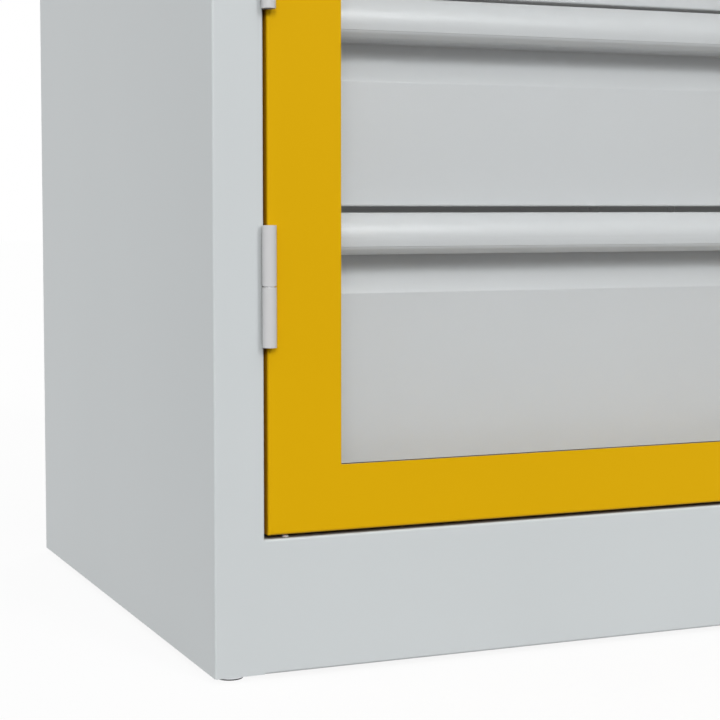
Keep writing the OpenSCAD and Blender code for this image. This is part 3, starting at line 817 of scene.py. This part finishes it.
def stand_in(node: str, shape: Shape | bpy.types.Mesh, bevel: float = 0.0) -> None:
    """Shows a finer mesh in place of one of the frame's nodes.

    Args:
        node: The node.
        shape: The finer shape or mesh.
        bevel: Width of the rounding of its edges.
    """
    name = node + "_fine"
    mesh = shape.mesh(name) if isinstance(shape, Shape) else shape
    show(name, mesh, SLOT_OF[node], BODY_OF[node], [node], bevel)


def at(place: Sequence[float], facing: Facing = Facing.UP) -> Matrix:
    """Returns the move that puts a shape drawn along +Z at a place, facing as told."""
    return Matrix.Translation(Vector(place)) @ facing.value


def solids(node: str) -> list[tuple[Vector, Vector]]:
    """Lists the boxes of a node's separate solids.

    Args:
        node: A node of the frame.

    Returns:
        The lowest and highest corner of each solid, from the lowest and leftmost.
    """
    work = bmesh.new()
    work.from_mesh(frame["nodes"][node].data)
    bmesh.ops.remove_doubles(work, verts=work.verts, dist=0.001 * MM)
    waiting = set(work.verts)
    boxes = []
    while waiting:
        todo = [waiting.pop()]
        low, high = todo[0].co.copy(), todo[0].co.copy()
        while todo:
            corner = todo.pop()
            low = Vector(map(min, low, corner.co))
            high = Vector(map(max, high, corner.co))
            for edge in corner.link_edges:
                other = edge.other_vert(corner)
                if other in waiting:
                    waiting.remove(other)
                    todo.append(other)
        boxes.append((low, high))
    work.free()
    return sorted(boxes, key=lambda box: [round(box[0][axis], 5) for axis in (2, 0, 1)])


@dataclass
class SubAssembly(ABC):
    """Pieces that are made and dressed together.

    Attributes:
        kept: The frame's nodes that show as they are.
    """

    kept: tuple[str, ...] = ()

    @abstractmethod
    def build(self) -> None:
        """Makes the pieces that stand in for the frame's plain ones."""

    def dress(self) -> None:
        """Gives the kept nodes their finish."""
        for name in self.kept:
            for slot in frame["nodes"][name].material_slots:
                slot.material = FINISHES[SLOT_OF[name]].material()
            log.info("node %s keeps its shape, in %s", name, FINISHES[SLOT_OF[name]].name)


@dataclass
class Carcass(SubAssembly):
    """Folded panels, the uprights and fillers inside them, and the base's brackets and nuts."""

    kept: tuple[str, ...] = (
        "side_left", "side_right", "back_panel", "top_cover", "plinth_front", "cabinet_floor",
        "uprights_left", "uprights_right", "filler_left", "filler_right",
        "foot_brackets", "foot_nuts",
    )

    def build(self) -> None:
        """Makes nothing: every panel shows as the frame has it."""


@dataclass
class Feet(SubAssembly):
    """Four levelling feet: a turned pad on a rubber sole, with a pressed-in threaded stud.

    Attributes:
        pad_h: Height of a pad, the dark sole included.
        shade_sole_h: How far the dark sole, painted shade at the pad's foot, shows under the pad.
        shade_sole_edge: Rounding of the dark sole's edges.
        pad_edge: Rounding of a pad's upper edge.
        foot_edge: Rounding of its lower edge.
        groove: How far the dark sole lies back and in, and the stud in the pad.
        pitch: Pitch of the stud's thread.
        stud_r: Radius of the stud.
        corners: The corners' names.
    """

    pad_h: float = 6 * MM
    shade_sole_h: float = 0.9 * MM
    shade_sole_edge: float = 0.3 * MM
    pad_edge: float = 1 * MM
    foot_edge: float = 0.4 * MM
    groove: float = 0.5 * MM
    pitch: float = 1.25 * MM
    stud_r: float = 4 * MM
    corners: tuple[str, ...] = ("front_left", "front_right", "rear_left", "rear_right")

    def build(self) -> None:
        """Turns the feet."""
        for corner in self.corners:
            node = "foot_" + corner
            low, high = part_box(node)
            x, y, radius = (low.x + high.x) / 2, (low.y + high.y) / 2, (high.x - low.x) / 2
            foot = Shape().join(self.pad(radius), at((x, y, low.z)))
            # Painted shade: a dark rubber ring under the pad darkens its foot.
            shade_sole = rod(radius - self.groove, self.shade_sole_h + self.groove, self.shade_sole_edge)
            mesh = Shape().join(shade_sole, at((x, y, low.z))).mesh(node + "_sole")
            show(node + "_sole", mesh, Slot.RUBBER, BODY_OF[node])
            seat = low.z + self.pad_h - self.groove
            foot.join(thread(self.stud_r, high.z - seat, self.pitch), at((x, y, seat)))
            stand_in(node, foot)

    def pad(self, radius: float) -> Shape:
        """Turns one pad of the given radius, down to its dark sole."""
        low, high = self.foot_edge, self.pad_edge
        return lathe([
            (0.0, self.shade_sole_h),
            *arc((radius - low, self.shade_sole_h + low), low, -90, 0, 3),
            *arc((radius - high, self.pad_h - high), high, 0, 90, 5),
            (0.0, self.pad_h),
        ])


@dataclass
class PanHead:
    """A pan-head screw's head with a cross recess.

    The other sizes are shares of the head's radius or height.

    Attributes:
        radius: Radius of the head.
        height: Height of the head.
        rim: Height of the chamfer round its foot.
        dome: Radius of its upper edge.
        crown: Radius of the flat on its top.
        arm: Half the length and half the width of the recess's arms.
        sink: Depth of the recess.
        flare: How much wider the recess is at its mouth.
    """

    radius: float
    height: float
    rim: float = 0.1
    dome: float = 0.55
    crown: float = 0.45
    arm: Pair = (0.52, 0.14)
    sink: float = 0.7
    flare: float = 1.6

    @classmethod
    def sized(cls, low: Vector, high: Vector) -> "PanHead":
        """Takes its height from a box's shortest side and its radius from the longest."""
        sizes = sorted(high - low)
        return cls(sizes[2] / 2, sizes[0])

    def mesh(self) -> bpy.types.Mesh:
        """Turns the head and presses its recess, as a mesh that stands on z = 0."""
        edge, rim = self.dome * self.height, self.rim * self.height
        dome = [
            (0.0, 0.0), (self.radius - rim / 2, 0.0), (self.radius, rim),
            *arc((self.radius - edge, self.height - edge), edge, 0, 72, 6),
            (self.crown * self.radius, self.height), (0.0, self.height),
        ]
        return carved(lathe(dome, 40), [self.recess()])

    def recess(self) -> Shape:
        """Draws the tapered cross that the driver fits."""
        long, wide = (share * self.radius for share in self.arm)
        arm = [(long, -wide), (long, wide), (wide, wide)]
        cross = []
        for _ in range(4):
            cross += arm
            arm = [(-y, x) for x, y in arm]
        depth = self.sink * self.height
        tool = prism(cross, depth + 0.2 * MM, top=self.flare)
        return Shape().join(tool, at((0.0, 0.0, self.height - depth)))


def screw_heads(node: str, facing: Callable[[Vector], Facing]) -> None:
    """Stands cross-recessed heads in for a node of plain ones.

    Args:
        node: The node, one disc for each screw.
        facing: Which way the head at a place faces.
    """
    boxes = solids(node)
    head = PanHead.sized(*boxes[0])
    mesh = head.mesh()
    work = bmesh.new()
    for number, (low, high) in enumerate(boxes):
        middle = (low + high) / 2
        drop = at((0.0, 0.0, -head.height / 2))
        spin = Matrix.Rotation(number * SCREW_SPIN, 4, "Z")
        copy = mesh.copy()
        copy.transform(at(middle, facing(middle)) @ drop @ spin)
        work.from_mesh(copy)
        bpy.data.meshes.remove(copy)
    made = bpy.data.meshes.new(node + "_fine")
    work.to_mesh(made)
    work.free()
    stand_in(node, made)


@dataclass
class Door(SubAssembly):
    """Yellow door leaf with its inner frame, glazing and soft stops.

    Attributes:
        grip: How far the glazing channel's lips reach over the pane.
        lip_edge: Rounding of those lips.
        stop_edge: Rounding of the soft stops.
    """

    kept: tuple[str, ...] = ("door_panel", "door_inner_frame", "window_pane")
    grip: float = 8 * MM
    lip_edge: float = 0.4 * MM
    stop_edge: float = 1.2 * MM

    def build(self) -> None:
        """Makes the channel, the screws and the stops."""
        self.channel()
        screw_heads("frame_screws", lambda place: Facing.BACK)
        stops = Shape()
        for low, high in solids("door_buffers"):
            size, (x, y, z) = high - low, (low + high) / 2
            if size.z < size.x / 2:
                stops.join(self.glide(size.x / 2, size.z), at((x, y, low.z)))
            else:
                stops.join(self.stop(size.x / 2, size.y), at((x, high.y, z), Facing.FRONT))
        stand_in("door_buffers", stops)

    def stop(self, radius: float, height: float) -> Shape:
        """Moulds a soft stop that the closed door rests against."""
        edge = self.stop_edge
        top = arc((radius - edge, height - edge), edge, 0, 90, 6)
        return lathe([(0.0, 0.0), (radius, 0.0), *top, (0.0, height)], 32)

    def glide(self, radius: float, height: float) -> Shape:
        """Moulds a domed glide for the sill."""
        ball = (radius ** 2 + height ** 2) / (2 * height)
        slope = math.degrees(math.asin(radius / ball))
        return lathe([(0.0, 0.0), *arc((0.0, height - ball), ball, 90 - slope, 90, 12)], 40)

    def channel(self) -> None:
        """Sweeps the rubber channel's U section round the pane."""
        low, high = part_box("window_seal")
        pane_low, pane_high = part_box("window_pane")
        wall, grip = pane_low.y - low.y, self.grip
        section = [
            (-wall, low.y), (grip, low.y), (grip, pane_low.y), (0.0, pane_low.y),
            (0.0, pane_high.y), (grip, pane_high.y), (grip, high.y), (-wall, high.y),
        ]
        shape = Shape()
        rings = []
        for sx, sz in ((1, 1), (-1, 1), (-1, -1), (1, -1)):
            x = pane_low.x if sx > 0 else pane_high.x
            z = pane_low.z if sz > 0 else pane_high.z
            rings.append(shape.ring((x + sx * depth, y, z + sz * depth) for depth, y in section))
        shape.skin(rings + rings[:1])
        stand_in("window_seal", shape, self.lip_edge)


@dataclass
class Hinges(SubAssembly):
    """Two lift-off barrel hinges: knuckles with leaves, pins and washers.

    Attributes:
        edge: Chamfer of the barrels' ends.
        seam: How far the washers lie back behind the barrels' faces.
        play: Gap between a washer and each knuckle.
        bore: Radius of the barrels' and washers' bores.
        pin_edge: Rounding of the pins' ends.
        leaf_t: Thickness of the leaves.
        leaf_x: Where the post's and the door's leaves start, from the axis.
        leaf_y: Share of the barrel's radius behind the axis where they start.
    """

    edge: float = 0.15 * MM
    seam: float = 1.2 * MM
    play: float = 0.03 * MM
    bore: float = 3.05 * MM
    pin_edge: float = 0.8 * MM
    leaf_t: float = 0.9 * MM
    leaf_x: Pair = (-1.45 * MM, 0.05 * MM)
    leaf_y: float = 0.78

    def build(self) -> None:
        """Makes knuckles, pins and washers of both hinges."""
        low, high = solids("hinge_pins")[0]
        x, y = (low.x + high.x) / 2, (low.y + high.y) / 2
        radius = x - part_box("hinge_frame_knuckles")[0].x
        for node, leaf_x in zip(("hinge_frame_knuckles", "hinge_door_knuckles"), self.leaf_x):
            shape = Shape()
            for low, high in solids(node):
                height = high.z - low.z
                shape.join(self.barrel(radius, height), at((x, y, low.z)))
                start = (x + leaf_x, y + self.leaf_y * radius)
                shape.join(self.leaf(start, high.y, height), at((0.0, 0.0, low.z)))
            stand_in(node, shape)
        pins = Shape()
        for low, high in solids("hinge_pins"):
            pin = rod((high.x - low.x) / 2, high.z - low.z, self.pin_edge, 40)
            pins.join(pin, at((x, y, low.z)))
        stand_in("hinge_pins", pins)
        washers = Shape()
        for low, high in solids("hinge_washers"):
            inner, outer = self.bore, radius - self.seam
            foot, top = self.play, high.z - low.z - self.play
            profile = [(inner, foot), (outer, foot), (outer, top), (inner, top), (inner, foot)]
            washers.join(lathe(profile), at((x, y, low.z)))
        stand_in("hinge_washers", washers)

    def barrel(self, radius: float, height: float) -> Shape:
        """Turns one knuckle's barrel."""
        return lathe([
            (self.bore, 0.0), (radius - self.edge, 0.0), (radius, self.edge),
            (radius, height - self.edge), (radius - self.edge, height), (self.bore, height),
            (self.bore, 0.0),
        ])

    def leaf(self, start: Pair, back: float, height: float) -> Shape:
        """Draws the leaf that is welded to a barrel, from its start in x, y to its back."""
        (x, front), right = start, start[0] + self.leaf_t
        return prism([(x, front), (right, front), (right, back), (x, back)], height)


@dataclass
class CamLock(SubAssembly):
    """The lock in the door's free stile: rosette, knob with key plug, sleeve, nut and cam.

    Attributes:
        grip: Width of the knob's grip and its height above the collar.
        sunk: How far the grip reaches into the collar.
        collar_h: Height of the collar.
        boss_r: Radius of the boss round the key plug.
        recess_h: Depth of the plug's seat.
        plug_r: Radius of the key plug.
        plug_h: Depth to which the plug lies below the grip's face.
        plug_back: Depth of the plug's back below that face.
        key: Half the width and half the length of the key's way.
        spindle_r: Radius of the spindle's bore.
        pitch: Pitch of the sleeve's thread.
        nut_bore: Radius of the nut's bore.
        play: Gap round the spindle.
        edge: Rounding of the collar's edges.
        grip_edge: Rounding of the grip's edges.
        rim: Rounding of the rosette's edge.
        axis: The lock's axis in x, z.
    """

    kept: tuple[str, ...] = ("lock_cam",)
    grip: Pair = (12 * MM, 19 * MM)
    sunk: float = 0.4 * MM
    collar_h: float = 6.7 * MM
    boss_r: float = 9 * MM
    recess_h: float = 2.2 * MM
    plug_r: float = 6.9 * MM
    plug_h: float = 0.6 * MM
    plug_back: float = 2.2 * MM
    key: Pair = (0.9 * MM, 4.2 * MM)
    spindle_r: float = 5 * MM
    pitch: float = 1.5 * MM
    nut_bore: float = 10 * MM
    play: float = 0.05 * MM
    edge: float = 1.1 * MM
    grip_edge: float = 0.8 * MM
    rim: float = 1.6 * MM
    axis: Pair = (0.0, 0.0)

    def build(self) -> None:
        """Makes the lock's turned and moulded pieces."""
        low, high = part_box("lock_body")
        radius = (high.x - low.x) / 2
        self.axis = low.x + radius, (low.z + high.z) / 2
        self.knob()
        self.rosette()
        sleeve = thread(radius, high.y - low.y, self.pitch, self.spindle_r, 48)
        stand_in("lock_body", Shape().join(sleeve, self.on_axis(low.y)))
        low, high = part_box("lock_nut")
        nut = prism(hexagon(high.z - low.z), high.y - low.y)
        bore = lowered(rod(self.nut_bore, 2 * (high.y - low.y), 0.1 * MM))
        self.place("lock_nut", carved(nut, [bore], bevel=0.5 * MM), low.y)
        low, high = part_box("lock_cam_screw")
        self.place("lock_cam_screw", PanHead.sized(low, high).mesh(), low.y)

    def place(self, node: str, mesh: bpy.types.Mesh, depth: float) -> None:
        """Stands a mesh in for a node, on the lock's axis at a depth."""
        mesh.transform(self.on_axis(depth))
        stand_in(node, mesh)

    def on_axis(self, depth: float, facing: Facing = Facing.BACK) -> Matrix:
        """Returns the move onto the lock's axis, at a depth in the cabinet's frame."""
        return at((self.axis[0], depth, self.axis[1]), facing)

    def rosette(self) -> None:
        """Turns the rosette under the knob."""
        low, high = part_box("lock_rosette")
        radius, height = (high.x - low.x) / 2, high.y - low.y
        bore = self.spindle_r + self.play
        profile = [
            (bore, 0.0), (radius, 0.0),
            *arc((radius - self.rim, height - self.rim), self.rim, 0, 90, 6),
            (bore, height), (bore, 0.0),
        ]
        seat = self.on_axis(high.y, Facing.FRONT)
        stand_in("lock_rosette", Shape().join(lathe(profile, 96), seat))

    def knob(self) -> None:
        """Moulds the knob with its grip, boss and collar, and sets the key plug in it."""
        low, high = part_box("lock_knob")
        radius, (grip_w, grip_h) = (high.x - low.x) / 2, self.grip
        side = math.degrees(math.acos(grip_w / 2 / radius))
        outline = [
            *arc((0.0, 0.0), radius, side, 180 - side, 10),
            *arc((0.0, 0.0), radius, side - 180, -side, 10),
        ]
        back = low.y + grip_h + self.collar_h
        knob = Shape()
        collar = rod(radius, self.collar_h, self.edge, 96)
        knob.join(collar, self.on_axis(back, Facing.FRONT))
        front = self.on_axis(low.y)
        recess = lowered(rod(self.plug_r + 0.15 * MM, self.recess_h + CLEAR, 0.05 * MM))
        length = grip_h + self.sunk
        for blank in (prism(outline, length), rod(self.boss_r, length, 0.2 * MM)):
            part = carved(blank, [recess], bevel=self.grip_edge)
            corners = [front @ vertex.co for vertex in part.vertices]
            knob.join(Shape(corners, [tuple(face.vertices) for face in part.polygons]))
        spindle = rod(self.spindle_r - self.play, high.y - back, 0.4 * MM, 48)
        knob.join(spindle, self.on_axis(back))
        stand_in("lock_knob", knob)
        x, y = self.key
        way = lowered(prism([(-x, -y), (x, -y), (x, y), (-x, y)], 3 * MM))
        plug = carved(rod(self.plug_r, self.plug_back - self.plug_h, 0.3 * MM), [way])
        plug.transform(self.on_axis(low.y + self.plug_h))
        show("lock_key_plug", plug, Slot.ZINC, BODY_OF["lock_knob"])


@dataclass(frozen=True)
class FoldedSheet:
    """Edge view of a folded sheet.

    Attributes:
        path: Corners of its middle line, in y, z.
        radii: Middle-line radius of the bend at each corner.
        thickness: Thickness of the sheet.
        step: Largest angle of a chord, in degrees.
    """

    path: tuple[Pair, ...]
    radii: tuple[float, ...]
    thickness: float
    step: float = 9.0

    def skin(self, side: float) -> list[Pair]:
        """Lists the sheet's outline on one side.

        Args:
            side: 1 for the left of the path, -1 for its right.

        Returns:
            Points from the path's first corner to its last.
        """
        shift = side * self.thickness / 2
        corners = [Vector(corner) for corner in self.path]
        ways = [(b - a).normalized() for a, b in zip(corners, corners[1:])]
        points = [corners[0] + shift * Vector((-ways[0].y, ways[0].x))]
        for corner, radius, before, after in zip(corners[1:-1], self.radii[1:-1], ways, ways[1:]):
            turn = math.atan2(before.x * after.y - before.y * after.x, before.dot(after))
            sign = math.copysign(1.0, turn)
            start = corner - before * radius * math.tan(abs(turn) / 2)
            left = Vector((-before.y, before.x))
            centre = start + sign * radius * left
            chords = max(2, math.ceil(abs(math.degrees(turn)) / self.step))
            for i in range(chords + 1):
                ray = Matrix.Rotation(turn * i / chords, 2) @ (-sign * left)
                points.append(centre + (radius - sign * shift) * ray)
        points.append(corners[-1] + shift * Vector((-ways[-1].y, ways[-1].x)))
        return [(point.x, point.y) for point in points]


@dataclass
class Drawer(SubAssembly):
    """One drawer: a folded front with grip bead, a tray, and its share of the runners.

    Attributes:
        number: 1 for the lowest drawer.
        sheet: Thickness of the front's sheet.
        bead_h: Height of the grip bead.
        chamfer: Height of the chamfer along the bead's lower edge.
        slopes: Degrees by which the bead's face leans back at its top and its bottom.
        recess: Depth of the finger recess behind the bead.
        crease: Height from the bead's top to the crease.
        flat_set: Setback of the flat front behind the bead.
        lip: Width of the lips at the back.
        fold_r: Middle-line radius of a sharp bend.
        soft_r: Radii of the bead's top edge and of the crease.
        round_r: Radii of the chamfer's upper and lower bend.
        edge: Rounding of the front's two ends.
    """

    number: int = 1
    sheet: float = 1 * MM
    bead_h: float = 28.8 * MM
    chamfer: float = 4 * MM
    slopes: Pair = (38.0, 10.0)
    recess: float = 38 * MM
    crease: float = 57.4 * MM
    flat_set: float = 24 * MM
    lip: float = 12 * MM
    fold_r: float = 1.1 * MM
    soft_r: Pair = (2 * MM, 1.5 * MM)
    round_r: Pair = (3.5 * MM, 4.5 * MM)
    edge: float = 0.35 * MM

    def __post_init__(self) -> None:
        """Names the nodes that keep their shape."""
        own = ("tray", "rails", "middle_rails", "outer_cages", "inner_cages")
        self.kept = tuple(f"drawer_{self.number}_{part}" for part in own)

    def build(self) -> None:
        """Folds the drawer's front."""
        node = f"drawer_{self.number}_front"
        low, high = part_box(node)
        folded = self.edge_view(high.z - low.z, high.y - low.y)
        outer, inner = folded.skin(1), folded.skin(-1)
        shape = Shape()

        def section(x: float, outline: Sequence[Pair]) -> list[int]:
            """Adds the corners of a cross-section at x."""
            return shape.ring((x, low.y + y, high.z + z) for y, z in outline)

        near, far = section(low.x, outer), section(high.x, outer)
        inner_near = section(low.x + self.sheet, inner)
        inner_far = section(high.x - self.sheet, inner)
        tips_near, tips_far = (section(x, (inner[0], inner[-1])) for x in (low.x, high.x))
        shape.skin([near, far], closed=False)
        shape.skin([inner_near, inner_far], closed=False)
        ends = ((near, inner_near, tips_near), (far, inner_far, tips_far))
        for cheek, hollow, (top, bottom) in ends:
            step = (top, bottom, hollow[-1], hollow[0])
            shape.faces += [(*cheek, bottom, top), tuple(hollow), step]
        for end in (0, -1):
            lip = (near, far, tips_far, inner_far, inner_near, tips_near)
            shape.faces.append(tuple(row[end] for row in lip))
        stand_in(node, shape, self.edge)

    def edge_view(self, height: float, depth: float) -> FoldedSheet:
        """Draws the front's edge view from the bead's foremost line and the front's top.

        Args:
            height: Height of the front.
            depth: Depth from the bead to the lips' backs.

        Returns:
            The folded sheet's edge view.
        """
        half = self.sheet / 2
        upper, lower = (math.radians(slope) for slope in self.slopes)
        bead_r = (self.bead_h - self.chamfer - half) / (math.sin(upper) + math.sin(lower))
        leg = bead_r * math.tan((upper + lower) / 2)
        crown = half + bead_r * (1 - math.cos(upper))
        foot = half + bead_r * (1 - math.cos(lower))
        back, flat = depth - half, self.flat_set + half
        path = (
            (back, -self.lip), (back, -half), (crown, -half),
            (crown - leg * math.sin(upper), -half - leg * math.cos(upper)),
            (foot, self.chamfer - self.bead_h), (foot + self.chamfer, -self.bead_h),
            (self.recess, -self.bead_h), (flat, -self.crease), (flat, half - height),
            (back, half - height), (back, half - height + self.lip),
        )
        sharp, (top, crease), (high_bend, low_bend) = self.fold_r, self.soft_r, self.round_r
        run_in = max(
            top * math.tan((math.radians(90) - upper) / 2),
            high_bend * math.tan((math.radians(45) - lower) / 2),
        )
        face_r = (leg - run_in) / math.tan((upper + lower) / 2)
        radii = (0.0, sharp, top, face_r, high_bend, low_bend, sharp, crease, sharp, sharp, 0.0)
        return FoldedSheet(path, radii, self.sheet)


@dataclass
class Runners(SubAssembly):
    """The cabinet's own runner rails and the screws that hold them."""

    kept: tuple[str, ...] = ("runner_outer_left", "runner_outer_right")

    def build(self) -> None:
        """Makes the screws."""
        inwards = {True: Facing.RIGHT, False: Facing.LEFT}
        screw_heads("runner_screws", lambda place: inwards[place.x < 0])


# --------------------------------------------------------------------- studio


@dataclass(frozen=True)
class Lamp:
    """A large soft light so far away that it falls evenly on cabinet and floor.

    Attributes:
        name: Its name.
        azimuth: Degrees from straight in front towards the cabinet's right.
        elevation: Degrees above the floor.
        spread: Angle that it fills, in degrees.
        strength: What it gives a surface that faces it, in watts per square metre.
    """

    name: str
    azimuth: float
    elevation: float
    spread: float
    strength: float

    def hang(self) -> None:
        """Makes the light and turns it."""
        data = bpy.data.lights.new(self.name, "SUN")
        data.angle = math.radians(self.spread)
        data.energy = self.strength
        turn, rise = math.radians(self.azimuth), math.radians(self.elevation)
        flat = math.cos(rise)
        way = Vector((math.sin(turn) * flat, -math.cos(turn) * flat, math.sin(rise)))
        linked(self.name, data).rotation_euler = way.to_track_quat("Z", "Y").to_euler()


@dataclass
class Studio:
    """A pale floor in a white room with soft lights.

    Attributes:
        ambient: Level of the room's light.
        floor_size: Length of the floor's sides.
        floor_tone: How much of the light the floor throws back.
        floor_lift: How brightly the floor glows where it is looked at or mirrored.
        glow_share: Share of the glow in what is seen there.
        lamps: The lights.
    """

    ambient: float = 0.42
    floor_size: float = 30.0
    floor_tone: float = 0.20
    floor_lift: float = 1.78
    glow_share: float = 0.5
    lamps: tuple[Lamp, ...] = (
        Lamp("key_light", 15.0, 27.0, 12.0, 0.80),
        Lamp("front_light", -20.0, 21.0, 18.0, 1.32),
        Lamp("left_light", -100.0, 25.0, 40.0, 0.92),
        Lamp("top_light", 10.0, 60.0, 40.0, 0.35),
        Lamp("rear_light", 140.0, 14.0, 40.0, 1.20),
    )

    def build(self) -> None:
        """Makes the room, the floor and the lights."""
        self.room()
        self.floor()
        for lamp in self.lamps:
            lamp.hang()
        bpy.context.scene.view_settings.view_transform = "Standard"

    def room(self) -> None:
        """Lights the scene evenly, and shows white to the camera and through glass."""
        world = bpy.data.worlds.new("white_room")
        bpy.context.scene.world = world
        wiring = Wiring.of(world)
        strength = wiring.spread(self.seen(wiring), self.ambient, 1.0)
        room = wiring.add("ShaderNodeBackground", {"Color": WHITE, "Strength": strength})
        wiring.add("ShaderNodeOutputWorld", {"Surface": room.outputs[0]})

    @staticmethod
    def seen(wiring: Wiring) -> Socket:
        """Returns 1 for rays that look at a thing, straight, in a mirror or through glass."""
        return wiring.rays("Camera", "Glossy", "Transmission")

    def floor(self) -> None:
        """Lays the floor: white to the camera but for the cabinet's soft shadow."""
        half = self.floor_size / 2
        shape = Shape()
        corners = ((-half, -half), (half, -half), (half, half), (-half, half))
        shape.faces.append(tuple(shape.ring((x, y, 0.0) for x, y in corners)))
        floor = linked("studio_floor", shape.mesh("studio_floor"))
        material = bpy.data.materials.new("studio_floor")
        wiring = Wiring.of(material)
        matt = wiring.add("ShaderNodeBsdfDiffuse", {"Color": (*[self.floor_tone] * 3, 1.0)})
        white = wiring.add("ShaderNodeEmission", {"Color": WHITE, "Strength": self.floor_lift})
        share = wiring.math("MULTIPLY", self.seen(wiring), self.glow_share)
        mixed = wiring.either(share, matt.outputs[0], white.outputs[0])
        wiring.add("ShaderNodeOutputMaterial", {"Surface": mixed})
        floor.data.materials.append(material)


@dataclass(frozen=True)
class Viewpoint:
    """The photograph's camera.

    Attributes:
        place: Where it stands.
        yaw: Degrees by which it looks to the right of straight back.
        pitch: Degrees by which it looks down.
        lens: Focal length in millimetres.
        shift: Share of its width by which its lens is shifted up.
        sensor: Width of its sensor in millimetres.
    """

    place: Triple = (-0.6605, -1.3457, 0.3162)
    yaw: float = 22.688
    pitch: float = 3.778
    lens: float = 89.33
    shift: float = -0.05
    sensor: float = 36.0

    def build(self) -> None:
        """Makes the scene's camera."""
        data = bpy.data.cameras.new("photo_camera")
        data.lens = self.lens
        data.sensor_width = self.sensor
        data.shift_y = self.shift
        camera = linked("photo_camera", data)
        camera.location = self.place
        camera.rotation_euler = (math.radians(90 - self.pitch), 0.0, math.radians(-self.yaw))
        bpy.context.scene.camera = camera


def main() -> None:
    """Builds the sub-assemblies in order, then the studio and the camera."""
    logging.basicConfig(level=logging.INFO, format="%(name)s: %(message)s")
    Viewpoint().build()
    assemblies: list[SubAssembly] = [Carcass(), Feet(), Door(), Hinges(), CamLock(), Runners()]
    assemblies += [Drawer(number=number) for number in (1, 2, 3)]
    for assembly in assemblies:
        assembly.build()
        assembly.dress()
    Studio().build()


if __name__ == "__main__":
    main()
